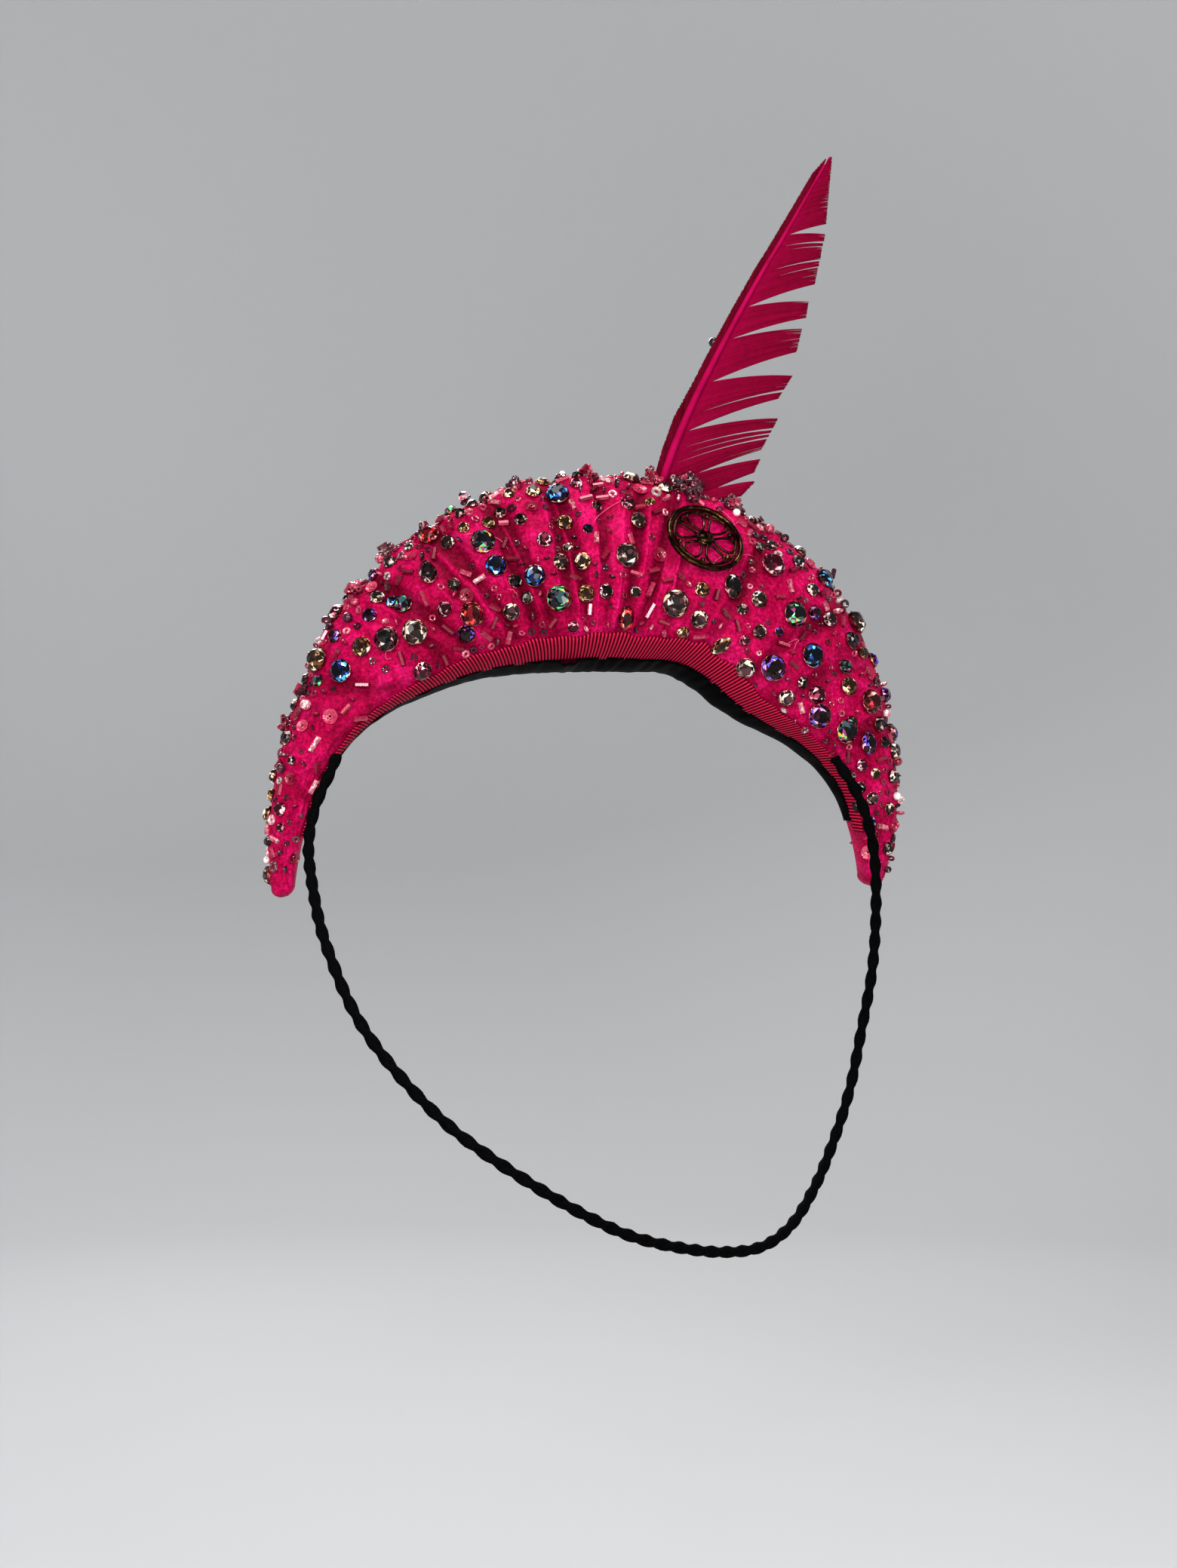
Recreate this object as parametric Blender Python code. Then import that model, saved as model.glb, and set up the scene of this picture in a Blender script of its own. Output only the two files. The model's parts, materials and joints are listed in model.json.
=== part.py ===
"""Padded halo headband with a feather, for a dance or stage costume.

A crescent pad of gathered hot pink fabric stands on the head from ear to ear. Cut stones, a gilt
openwork badge and one trimmed feather are sewn to it, a crimson ribbon and a black lining finish its
inner side, and a black elastic goes round the nape.

X points to the wearer's left, Y to the back and Z up. The origin is where the crown of the head
meets the middle of the lining.
"""

import math
from collections import namedtuple

import bmesh
import bpy
import numpy as np
from mathutils import Matrix, Vector
from mathutils.bvhtree import BVHTree

MM = 0.001
GAP = 0.3

# The arch of the pad is drawn round this point, in mm, and every angle is a turn from its top,
# positive to the wearer's left.
ARCH_CENTRE = Vector((0.0, 0.0, -32.0))
PAD_RINGS = 108
PAD_POINTS = 24

# The charts of stones, badge and feather are drawn as seen from behind and a little to the left.
CHART_TURN = math.radians(12.0)
CHART_DISTANCE = 760.0
CHART_LEFT = Vector((math.cos(CHART_TURN), -math.sin(CHART_TURN), 0.0))
CHART_VIEW = Vector((math.sin(CHART_TURN), math.cos(CHART_TURN), 0.0))
CHART_UP = Vector((0.0, 0.0, 1.0))

# The crescent, ear to ear: the turn in degrees, then the inner and the outer radius and the
# thickness from front to back in mm.
Section = namedtuple("Section", "turn inner outer depth")
SECTIONS = (
    Section(-108.0, 86.0, 93.2, 8.0),
    Section(-100.0, 81.0, 93.5, 11.5),
    Section(-90.0, 74.5, 93.0, 16.5),
    Section(-80.0, 64.5, 92.8, 22.0),
    Section(-70.0, 54.0, 93.2, 26.5),
    Section(-60.0, 48.5, 93.2, 30.0),
    Section(-48.0, 46.0, 93.5, 32.5),
    Section(-35.0, 43.5, 92.6, 34.5),
    Section(-20.0, 39.0, 91.0, 36.0),
    Section(0.0, 37.0, 90.0, 36.0),
    Section(20.0, 38.5, 89.2, 36.0),
    Section(35.0, 42.5, 88.6, 35.0),
    Section(50.0, 49.5, 88.7, 32.5),
    Section(62.0, 57.0, 88.9, 29.5),
    Section(74.0, 67.5, 89.5, 25.0),
    Section(84.0, 75.5, 91.0, 19.5),
    Section(94.0, 82.0, 93.6, 14.0),
    Section(102.0, 87.0, 96.0, 10.5),
    Section(108.0, 91.2, 98.0, 8.0),
)

# One section of the pad, once round from the ribbon's lower edge over the back and the ridge:
# shares of half the thickness (to the back) and of the height above the inner radius.
Profile = namedtuple("Profile", "back rise")
PROFILE = (
    Profile(0.30, 0.00),
    Profile(0.80, 0.11),
    Profile(1.00, 0.26),
    Profile(0.95, 0.45),
    Profile(0.77, 0.67),
    Profile(0.44, 0.88),
    Profile(-0.06, 1.00),
    Profile(-0.56, 0.88),
    Profile(-0.88, 0.65),
    Profile(-1.00, 0.38),
    Profile(-0.90, 0.06),
    Profile(-0.40, -0.06),
)
RIBBON_EDGE = 0
REAR_LOW = 1
RIDGE = 6
FRONT_EDGE = 10

# Each limb closes in a rounded end: how far past its last ring, in degrees, and its size there.
END_TURN = 2.2
END_SIZE = 0.62
END_REACH = 0.75

# The main gathers: where each meets the ribbon, how far its upper end leans, both in degrees, its
# depth in mm and its half width in degrees.
Fold = namedtuple("Fold", "turn lean depth width")
FOLDS = (
    Fold(80.0, -5.0, 0.9, 3.0),
    Fold(66.0, 5.0, 1.3, 3.0),
    Fold(53.0, -4.0, 1.3, 2.4),
    Fold(45.0, 3.0, 1.8, 2.0),
    Fold(38.0, -2.0, 1.6, 1.8),
    Fold(31.0, 2.0, 2.0, 2.1),
    Fold(24.0, -2.0, 1.8, 1.8),
    Fold(18.0, 2.0, 1.6, 1.7),
    Fold(12.0, -3.0, 1.6, 1.7),
    Fold(5.5, 2.0, 1.8, 1.8),
    Fold(-1.0, 1.0, 1.5, 1.7),
    Fold(-7.0, -2.0, 1.9, 1.8),
    Fold(-13.0, -3.0, 2.1, 2.0),
    Fold(-22.0, 3.0, 1.0, 2.4),
    Fold(-38.0, 4.0, 1.6, 2.6),
    Fold(-52.0, -3.0, 1.2, 2.8),
    Fold(-66.0, 3.0, 1.1, 3.0),
    Fold(-82.0, 4.0, 0.9, 3.0),
)

# The colours of the finishes: linear red, green and blue, then roughness and metallic.
Finish = namedtuple("Finish", "red green blue roughness metallic")
FINISHES = {
    "fabric": Finish(0.56, 0.008, 0.105, 0.42, 0.0),
    "ribbon": Finish(0.30, 0.012, 0.040, 0.55, 0.0),
    "satin": Finish(0.006, 0.006, 0.008, 0.30, 0.0),
    "elastic": Finish(0.004, 0.004, 0.004, 0.75, 0.0),
    "feather": Finish(0.42, 0.003, 0.050, 0.45, 0.0),
    "gilt": Finish(0.70, 0.46, 0.16, 0.22, 1.0),
    "navy": Finish(0.010, 0.014, 0.070, 0.08, 0.3),
    "crystal": Finish(0.62, 0.64, 0.58, 0.06, 0.3),
    "rainbow": Finish(0.30, 0.34, 0.30, 0.07, 0.4),
    "gold": Finish(0.62, 0.42, 0.24, 0.08, 0.4),
    "plum": Finish(0.11, 0.010, 0.050, 0.08, 0.3),
    "rose": Finish(0.55, 0.16, 0.22, 0.08, 0.3),
    "siam": Finish(0.38, 0.006, 0.020, 0.10, 0.2),
    "smoke": Finish(0.030, 0.016, 0.018, 0.10, 0.3),
}

# The main stones on the back: millimetres to the left of the arch's centre and above it, as seen
# in the chart, then length and width, the turn of the length from upright, the cut and the colour.
Stone = namedtuple("Stone", "left up length width turn cut colour")
BACK_STONES = (
    Stone(10.1, 83.2, 6.8, 6.8, 0, "round", "navy"),
    Stone(31.9, 70.2, 7.2, 7.2, 0, "round", "rainbow"),
    Stone(28.2, 63.4, 6.2, 6.2, 0, "round", "navy"),
    Stone(16.7, 60.3, 6.2, 6.2, 0, "round", "navy"),
    Stone(9.7, 64.4, 4.8, 4.8, 0, "round", "crystal"),
    Stone(2.8, 64.7, 4.8, 4.8, 0, "round", "gold"),
    Stone(10.1, 54.1, 7.2, 7.2, 0, "round", "rainbow"),
    Stone(2.0, 55.4, 4.8, 4.8, 0, "round", "gold"),
    Stone(23.5, 50.4, 4.8, 4.8, 0, "round", "crystal"),
    Stone(35.4, 49.1, 6.8, 6.8, 0, "round", "siam"),
    Stone(48.0, 61.6, 7.4, 5.4, 12, "pear", "smoke"),
    Stone(47.3, 71.5, 6.0, 6.0, 0, "round", "siam"),
    Stone(55.0, 52.1, 5.2, 5.2, 0, "round", "rainbow"),
    Stone(51.9, 43.8, 7.2, 7.2, 0, "round", "crystal"),
    Stone(59.9, 42.0, 7.0, 7.0, 0, "round", "smoke"),
    Stone(67.1, 39.8, 5.6, 5.6, 0, "round", "gold"),
    Stone(73.0, 33.0, 6.4, 6.4, 0, "round", "navy"),
    Stone(79.4, 35.9, 7.0, 7.0, 0, "round", "gold"),
    Stone(49.9, 33.4, 5.4, 5.4, 0, "round", "rose"),
    Stone(-9.7, 66.4, 7.0, 7.0, 0, "round", "crystal"),
    Stone(-13.0, 76.3, 4.8, 4.8, 0, "round", "crystal"),
    Stone(-9.5, 48.8, 7.2, 4.8, 0, "oval", "siam"),
    Stone(-23.8, 52.6, 7.8, 7.8, 0, "round", "crystal"),
    Stone(-31.0, 48.2, 5.2, 5.2, 0, "round", "crystal"),
    Stone(-40.5, 57.6, 7.0, 5.8, 0, "oval", "smoke"),
    Stone(-48.4, 53.7, 5.0, 5.0, 0, "round", "crystal"),
    Stone(-52.4, 63.4, 7.2, 7.2, 0, "round", "rose"),
    Stone(-58.5, 49.3, 7.6, 7.6, 0, "round", "rainbow"),
    Stone(-66.9, 59.4, 6.2, 6.2, 0, "round", "navy"),
    Stone(-75.8, 46.6, 7.2, 7.2, 0, "round", "crystal"),
    Stone(-37.6, 40.6, 6.8, 4.2, -50, "navette", "gold"),
    Stone(-44.7, 34.3, 5.8, 5.8, 0, "round", "crystal"),
    Stone(-52.5, 33.9, 7.4, 7.4, 0, "round", "plum"),
    Stone(-63.8, 37.4, 7.0, 7.0, 0, "round", "navy"),
    Stone(-74.4, 28.4, 5.4, 5.4, 0, "round", "gold"),
    Stone(-80.4, 24.0, 7.0, 7.0, 0, "round", "siam"),
    Stone(-66.0, 20.0, 7.0, 7.0, 0, "round", "plum"),
    Stone(-73.7, 15.6, 7.0, 7.0, 0, "round", "rainbow"),
    Stone(-80.0, 12.2, 7.0, 5.4, 0, "pear", "plum"),
)

# The main stones that face forward, charted straight from the front with left as the wearer's.
FRONT_STONES = (
    Stone(68.0, 20.0, 6.8, 6.8, 0, "round", "rainbow"),
    Stone(58.0, 44.0, 7.2, 7.2, 0, "round", "crystal"),
    Stone(38.0, 60.0, 7.2, 7.2, 0, "round", "navy"),
    Stone(12.0, 72.0, 7.4, 7.4, 0, "round", "rose"),
    Stone(-11.0, 57.0, 7.4, 7.4, 0, "round", "rainbow"),
    Stone(-34.0, 66.0, 7.2, 7.2, 0, "round", "plum"),
    Stone(-56.0, 46.0, 7.2, 7.2, 0, "round", "crystal"),
    Stone(-68.0, 22.0, 6.8, 6.8, 0, "round", "navy"),
)
STONE_SIDES = 10
STONE_RISE = 0.46  # height of the cut over its width
STONE_FOOT = 0.86  # outline at the foot, the girdle and the table, as shares of the width
STONE_GIRDLE = 1.0
STONE_TABLE = 0.56
STONE_GIRDLE_RISE = 0.32
SEAT_ROUND = 12  # a stone is seated on this many places of the cover, at two reaches from its middle
SEAT_REACHES = (0.45, 1.0)
SEAT_ABOVE = 5.0

RIBBON_THICK = 0.8
LINING_THICK = 1.0
BAND_RINGS = 76

# The badge lies on the ridge above the wearer's right temple, its upper edge sunk deeper than its
# lower one by a tip of so many degrees.
BADGE_TURN = -23.3
BADGE_SHARE = 4.26
BADGE_TIP = 11.0
BADGE_RADIUS = 12.0
BADGE_RIM = 1.5
BADGE_THICK = 1.8
BADGE_BOSS = 2.0
BADGE_PETALS = 6
PETAL_POINTS = 10
PETAL_BAR = 0.75  # half of the bar that is left between two petals
PETAL_INSET = 0.9  # metal left round the boss and inside the rim
BADGE_PRESS = 1.4  # how far the badge sinks the cover, over its own radius and a margin
PRESS_MARGIN = 4.0
PRESS_REACH = 6.0

# The feather stands on the ridge. It is drawn along and across the line from its foot to its tip.
FEATHER_FOOT = (-23.4, 95.6)
FEATHER_TIP = (-69.5, 182.9)
FEATHER_DEPTH = -8.5
FEATHER_THICK = 0.8
QUILL_START = -10.0
SHAFT_RADIUS = 1.1
Shaft = namedtuple("Shaft", "along across")
SHAFT = (
    Shaft(QUILL_START, 1.2),
    Shaft(0.0, 0.0),
    Shaft(15.0, -1.3),
    Shaft(28.0, -1.7),
    Shaft(43.0, -1.8),
    Shaft(61.0, -1.4),
    Shaft(80.0, -0.8),
    Shaft(96.0, -0.2),
)
# The narrow leading edge of the vane, from the foot to the tip.
LEADING = (
    Shaft(-4.0, -2.6),
    Shaft(5.0, -3.9),
    Shaft(12.0, -4.6),
    Shaft(22.0, -4.9),
    Shaft(34.0, -5.1),
    Shaft(50.0, -4.8),
    Shaft(64.0, -4.1),
    Shaft(83.0, -2.3),
    Shaft(94.0, -0.9),
)
# The gaps between the strips of the wide side, from the tip down: the gap's inner end, then its
# upper and its lower mouth at the trimmed edge.
Gap = namedtuple("Gap", "root_along root_across top_along top_across low_along low_across")
GAPS = (
    Gap(72.7, 0.3, 81.2, 8.0, 78.1, 8.8),
    Gap(48.4, -0.2, 63.8, 13.2, 58.5, 14.1),
    Gap(37.6, 0.0, 54.1, 15.4, 50.6, 15.9),
    Gap(24.1, 0.4, 43.8, 17.6, 37.1, 20.0),
    Gap(9.8, 1.2, 29.4, 19.4, 24.2, 22.0),
    Gap(-1.6, 8.0, 13.4, 22.4, 11.6, 22.6),
)
TIP = Shaft(98.9, 0.0)
TRIM_TOP = Shaft(93.3, 2.97)
TRIM_LOW = Shaft(33.3, 20.4)
LONG_TRIM_GAPS = 4  # the trimmed edge turns downward after this many gaps
VANE_FOOT = (Shaft(0.0, 23.6), Shaft(-2.7, 14.3), Shaft(-3.8, 5.9))
GAP_BEND = 0.10  # how far a strip's edge bows, over its length

BEAD_RADIUS = 1.5
BEAD_PLACE = Shaft(35.0, -5.0)

# The elastic, from the left limb down over the nape and up the far side to the right limb.
ELASTIC_RADIUS = 1.75
ELASTIC_POINTS = 56
Route = namedtuple("Route", "left back up")
ROUTE = (
    Route(75.9, 10.4, -24.1),
    Route(77.4, 12.4, -27.6),
    Route(79.6, 13.8, -32.0),
    Route(82.3, 15.2, -38.0),
    Route(84.4, 18.8, -45.6),
    Route(85.2, 25.6, -53.6),
    Route(84.2, 39.4, -68.0),
    Route(81.9, 48.0, -78.1),
    Route(77.6, 55.8, -90.1),
    Route(72.0, 61.4, -100.1),
    Route(63.5, 66.9, -111.0),
    Route(53.6, 70.4, -121.1),
    Route(43.6, 72.3, -128.9),
    Route(31.1, 72.1, -137.3),
    Route(17.8, 68.8, -145.5),
    Route(3.8, 63.6, -152.7),
    Route(-10.7, 57.1, -157.5),
    Route(-26.2, 48.5, -161.0),
    Route(-39.8, 40.1, -161.5),
    Route(-51.0, 31.0, -157.5),
    Route(-61.0, 20.5, -149.0),
    Route(-70.0, 10.0, -137.5),
    Route(-77.5, 3.0, -122.5),
    Route(-82.0, 0.5, -105.0),
    Route(-84.5, 3.0, -87.0),
    Route(-84.0, 8.0, -69.0),
    Route(-82.0, 12.6, -53.0),
    Route(-78.6, 14.8, -41.0),
    Route(-75.0, 14.6, -33.0),
    Route(-72.2, 13.0, -28.0),
    Route(-70.4, 10.8, -24.5),
)


def clear_scene():
    for obj in list(bpy.data.objects):
        bpy.data.objects.remove(obj, do_unlink=True)


def new_collection(name):
    collection = bpy.data.collections.new(name)
    bpy.context.scene.collection.children.link(collection)
    return collection


def finish_material(name, finish):
    material = bpy.data.materials.new(name)
    material.use_nodes = True
    shader = material.node_tree.nodes["Principled BSDF"]
    shader.inputs["Base Color"].default_value = (finish.red, finish.green, finish.blue, 1.0)
    shader.inputs["Roughness"].default_value = finish.roughness
    shader.inputs["Metallic"].default_value = finish.metallic
    return material


def curve_through(values, places, at):
    """Smooth value at a place: a cubic between the table's rows, flat slopes beyond its ends."""
    places = np.asarray(places, float)
    values = np.asarray(values, float)
    slopes = np.gradient(values, places, axis=0)
    row = int(np.clip(np.searchsorted(places, at) - 1, 0, len(places) - 2))
    span = places[row + 1] - places[row]
    t = float(np.clip((at - places[row]) / span, 0.0, 1.0))
    return (
        (2 * t**3 - 3 * t**2 + 1) * values[row]
        + (t**3 - 2 * t**2 + t) * span * slopes[row]
        + (3 * t**2 - 2 * t**3) * values[row + 1]
        + (t**3 - t**2) * span * slopes[row + 1]
    )


SECTION_TURNS = [row.turn for row in SECTIONS]
SECTION_VALUES = [(row.inner, row.outer, row.depth) for row in SECTIONS]
PROFILE_COUNT = len(PROFILE)
PROFILE_PLACES = range(-2, PROFILE_COUNT + 3)
PROFILE_VALUES = [PROFILE[place % PROFILE_COUNT] for place in PROFILE_PLACES]


def pad_section(turn, share, lift=0.0):
    """Distance to the back and from the arch's centre on the smooth pad, lifted off its surface."""
    inner, outer, depth = curve_through(SECTION_VALUES, SECTION_TURNS, turn)
    step = 0.01
    places = [share % PROFILE_COUNT + offset for offset in (-step, 0.0, step)]
    before, here, after = (
        np.array(curve_through(PROFILE_VALUES, PROFILE_PLACES, place))
        * (depth / 2, outer - inner)
        for place in places
    )
    along = after - before
    outward = np.array((along[1], -along[0])) / np.hypot(*along)
    back, rise = here + lift * outward
    return back, inner + rise


def arch_point(turn, back, reach):
    angle = math.radians(turn)
    return ARCH_CENTRE + Vector((reach * math.sin(angle), back, reach * math.cos(angle)))


def pad_point(turn, share, lift=0.0):
    back, reach = pad_section(turn, share, lift)
    return arch_point(turn, back, reach)


def fold_depth(turn, share):
    """How far the gathers sink the pad's cover: deepest over the back and front, none below."""
    over = (share - REAR_LOW) / (FRONT_EDGE - REAR_LOW)
    if not 0.0 < over < 1.0:
        return 0.0
    strength = math.sin(math.pi * over) ** 0.35 * (1.0 - 0.55 * math.exp(-(((over - 0.56) / 0.12) ** 2)))
    sunk = 0.0
    for fold in FOLDS:
        middle = fold.turn + fold.lean * min(1.0, 2 * over)
        sunk += fold.depth * math.exp(-(((turn - middle) / fold.width) ** 2))
    return strength * sunk


def badge_frame():
    """The badge's centre on the smooth pad, with axes along the arch, across it and outward."""
    centre = pad_point(BADGE_TURN, BADGE_SHARE)
    along = (pad_point(BADGE_TURN - 1, BADGE_SHARE) - centre).normalized()
    across = (pad_point(BADGE_TURN, BADGE_SHARE + 0.1) - centre).normalized()
    outward = along.cross(across).normalized()
    if outward.y < 0:
        outward.negate()
    tip = math.radians(BADGE_TIP)
    outward = math.cos(tip) * outward + math.sin(tip) * outward.cross(along)
    return centre, along, outward.cross(along), outward


def pad_ring(turn):
    points = []
    centre, _, _, outward = badge_frame()
    press_radius = BADGE_RADIUS + PRESS_MARGIN
    for step in range(PAD_POINTS):
        share = step * PROFILE_COUNT / PAD_POINTS
        point = pad_point(turn, share, -fold_depth(turn, share))
        height = (point - centre).dot(outward)
        aside = (point - centre - height * outward).length
        pressed = BADGE_PRESS * (1.0 - min(1.0, aside / press_radius) ** 4)
        if aside < press_radius and height > max(-PRESS_REACH, -pressed):
            point -= (height + pressed) * outward
        points.append(point)
    return points


def loft(rings):
    """A skin over rings of equally many points, with its ends filled."""
    mesh = bmesh.new()
    loops = [[mesh.verts.new(Vector(point) * MM) for point in ring] for ring in rings]
    count = len(loops[0])
    for near, far in zip(loops, loops[1:]):
        for side in range(count):
            other = (side + 1) % count
            mesh.faces.new((near[side], near[other], far[other], far[side]))
    mesh.faces.new(loops[0])
    mesh.faces.new(loops[-1])
    bmesh.ops.recalc_face_normals(mesh, faces=mesh.faces)
    return mesh


def add_object(name, mesh, material, collection, smooth=True):
    data = bpy.data.meshes.new(name)
    mesh.to_mesh(data)
    mesh.free()
    obj = bpy.data.objects.new(name, data)
    collection.objects.link(obj)
    data.materials.append(material)
    if smooth:
        data.shade_smooth()
        data.set_sharp_from_angle(angle=math.radians(40))
    return obj


def build_pad(collection, material):
    first, last = SECTIONS[0].turn, SECTIONS[-1].turn
    turns = [first + (last - first) * ring / (PAD_RINGS - 1) for ring in range(PAD_RINGS)]
    rings = [pad_ring(turn) for turn in turns]
    for end, beyond in ((0, first - END_TURN), (-1, last + END_TURN)):
        middle = sum(rings[end], Vector()) / PAD_POINTS
        away = END_REACH * (pad_point(beyond, RIDGE) - pad_point(turns[end], RIDGE))
        tip = [middle + (point - middle) * END_SIZE + away for point in rings[end]]
        rings.insert(0 if end == 0 else len(rings), tip)
    return add_object("halo_pad", loft(rings), material, collection)


def band_rings(shares, thick, first, last):
    """Rings of a thin band on the pad, over these shares of its section."""
    rings = []
    for ring in range(BAND_RINGS):
        turn = first + (last - first) * ring / (BAND_RINGS - 1)
        under = [pad_point(turn, share, GAP) for share in shares]
        over = [pad_point(turn, share, GAP + thick) for share in reversed(shares)]
        rings.append(under + over)
    return rings


def build_ribbon(collection, material):
    shares = (RIBBON_EDGE, RIBBON_EDGE + 0.5, REAR_LOW)
    rings = band_rings(shares, RIBBON_THICK, -100.0, 100.0)
    return add_object("grosgrain_ribbon", loft(rings), material, collection)


def build_lining(collection, material):
    shares = (FRONT_EDGE + 0.5, FRONT_EDGE + 1.0, FRONT_EDGE + 1.5, PROFILE_COUNT - 0.2)
    rings = band_rings(shares, LINING_THICK, -98.0, 98.0)
    return add_object("satin_lining", loft(rings), material, collection)


def outline(cut, length, width):
    """A stone's outline, once round, with its length along the second axis."""
    points = []
    for side in range(STONE_SIDES):
        angle = 2 * math.pi * (side + 0.5) / STONE_SIDES
        if cut in ("pear", "navette"):
            angle = 2 * math.pi * side / STONE_SIDES + math.pi / 2
        x = math.cos(angle)
        y = math.sin(angle)
        if cut == "pear":
            x *= 1.0 - 0.45 * max(0.0, y)
        if cut == "navette":
            x *= 1.0 - 0.35 * y * y
        points.append((x * width / 2, y * length / 2))
    return points


def stone_rings(stone, frame):
    around = outline(stone.cut, stone.length, stone.width)
    rise = STONE_RISE * stone.width
    levels = (
        (STONE_FOOT, 0.0),
        (STONE_GIRDLE, STONE_GIRDLE_RISE * rise),
        (STONE_TABLE, rise),
    )
    return [[frame @ Vector((x * scale, y * scale, up)) for x, y in around] for scale, up in levels]


def seat(tree, origin, direction, radius, spin):
    """A frame on the pad where a ray meets it, square to the cover and clear of its folds. A ray
    that passes the outline takes the nearest place on it."""
    hit = tree.ray_cast(origin * MM, direction)[0]
    if hit is None:
        middle = (ARCH_CENTRE - origin).dot(direction)
        passing = [origin + (middle + step) * direction for step in range(-30, 31)]
        hit = min((tree.find_nearest(point * MM) for point in passing), key=lambda near: near[3])[0]
    hit = hit / MM
    normal = tree.find_nearest(hit * MM)[1]
    for _ in range(4):
        axis = normal.orthogonal().normalized()
        other = normal.cross(axis)
        total = Vector()
        heights = []
        for side in range(SEAT_ROUND):
            angle = 2 * math.pi * side / SEAT_ROUND
            for share in SEAT_REACHES:
                aside = (math.cos(angle) * axis + math.sin(angle) * other) * radius * share
                start = hit + aside + SEAT_ABOVE * normal
                place, facing, _, _ = tree.ray_cast(start * MM, -normal)
                if place is None:
                    continue
                total += facing
                heights.append((place / MM - hit).dot(normal))
        normal = (total.normalized() + normal).normalized()
    foot = hit + (max(heights + [0.0]) + GAP) * normal
    up = (CHART_UP - CHART_UP.dot(normal) * normal).normalized()
    up.rotate(Matrix.Rotation(math.radians(spin), 3, normal))
    side = up.cross(normal)
    frame = Matrix((side, up, normal)).transposed().to_4x4()
    frame.translation = foot
    return frame


def build_stones(collection, materials, tree):
    """Each main stone, dropped on the pad from where the chart shows it."""
    eye = ARCH_CENTRE + CHART_DISTANCE * CHART_VIEW
    placed = []
    for stone in BACK_STONES:
        target = ARCH_CENTRE + stone.left * CHART_LEFT + stone.up * CHART_UP
        placed.append((stone, eye, (target - eye).normalized()))
    for stone in FRONT_STONES:
        start = ARCH_CENTRE + Vector((stone.left, -CHART_DISTANCE, stone.up))
        placed.append((stone, start, Vector((0.0, 1.0, 0.0))))
    for number, (stone, origin, direction) in enumerate(placed, 1):
        frame = seat(tree, origin, direction, stone.length / 2, stone.turn)
        rings = stone_rings(stone, frame)
        name = f"stone_{number:02d}"
        add_object(name, loft(rings), materials[stone.colour], collection, smooth=False)


def chart_point(left, up, depth):
    """A point that the chart shows at these millimetres, this far toward the chart's eye."""
    nearer = 1.0 - depth / CHART_DISTANCE
    return ARCH_CENTRE + nearer * (left * CHART_LEFT + up * CHART_UP) + depth * CHART_VIEW


def feather_point(place, lift=0.0):
    foot = Vector(FEATHER_FOOT)
    along = (Vector(FEATHER_TIP) - foot).normalized()
    across = Vector((-along.y, along.x))
    left, up = foot + place.along * along + place.across * across
    return chart_point(left, up, FEATHER_DEPTH + lift)


def bowed(start, end, bow):
    """Points from start to end, bowed toward the feather's foot."""
    points = []
    for step in range(4):
        t = step / 4
        sag = bow * 4 * t * (1 - t) * math.hypot(end.along - start.along, end.across - start.across)
        along = start.along + t * (end.along - start.along) - sag
        points.append(Shaft(along, start.across + t * (end.across - start.across)))
    return points


def vane_outline():
    points = [*LEADING, TIP, TRIM_TOP]
    for number, gap in enumerate(GAPS, 1):
        mouth_top = Shaft(gap.top_along, gap.top_across)
        root = Shaft(gap.root_along, gap.root_across)
        mouth_low = Shaft(gap.low_along, gap.low_across)
        points += bowed(mouth_top, root, GAP_BEND)
        points += bowed(root, mouth_low, GAP_BEND)
        points.append(mouth_low)
        if number == LONG_TRIM_GAPS:
            points.append(TRIM_LOW)
    return points + list(VANE_FOOT)


def curve_object(name, points, radii, radius, collection):
    """A round wire through these points, with filled ends."""
    data = bpy.data.curves.new(name, "CURVE")
    data.dimensions = "3D"
    data.bevel_depth = radius * MM
    data.bevel_resolution = 2
    data.use_fill_caps = True
    spline = data.splines.new("POLY")
    spline.points.add(len(points) - 1)
    for point, place, share in zip(spline.points, points, radii):
        point.co = (*(Vector(place) * MM), 1.0)
        point.radius = share
    obj = bpy.data.objects.new(name, data)
    collection.objects.link(obj)
    return obj


def as_mesh_object(obj, collection):
    """The curve's shape as a mesh object with welded caps, in place of the curve."""
    bpy.context.view_layer.update()
    evaluated = obj.evaluated_get(bpy.context.evaluated_depsgraph_get())
    data = bpy.data.meshes.new_from_object(evaluated)
    mesh = bmesh.new()
    mesh.from_mesh(data)
    bmesh.ops.remove_doubles(mesh, verts=mesh.verts, dist=1e-6)
    bmesh.ops.recalc_face_normals(mesh, faces=mesh.faces)
    mesh.to_mesh(data)
    mesh.free()
    result = bpy.data.objects.new(obj.name + "_mesh", data)
    result.matrix_world = obj.matrix_world.copy()
    collection.objects.link(result)
    bpy.data.objects.remove(obj, do_unlink=True)
    return result


def build_feather(collection, helpers, material):
    near, far = ([feather_point(p, side * FEATHER_THICK / 2) for p in vane_outline()] for side in (-1, 1))
    vane = add_object("feather", loft([near, far]), material, collection)
    count = len(SHAFT)
    radii = [1.0 - 0.8 * step / (count - 1) for step in range(count)]
    centres = [feather_point(place) for place in SHAFT]
    shaft = curve_object("feather_shaft", centres, radii, SHAFT_RADIUS, helpers)
    shaft = as_mesh_object(shaft, helpers)
    shaft.hide_render = True
    shaft.display_type = "WIRE"
    union = vane.modifiers.new("shaft", "BOOLEAN")
    union.operation = "UNION"
    union.object = shaft
    return vane


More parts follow.
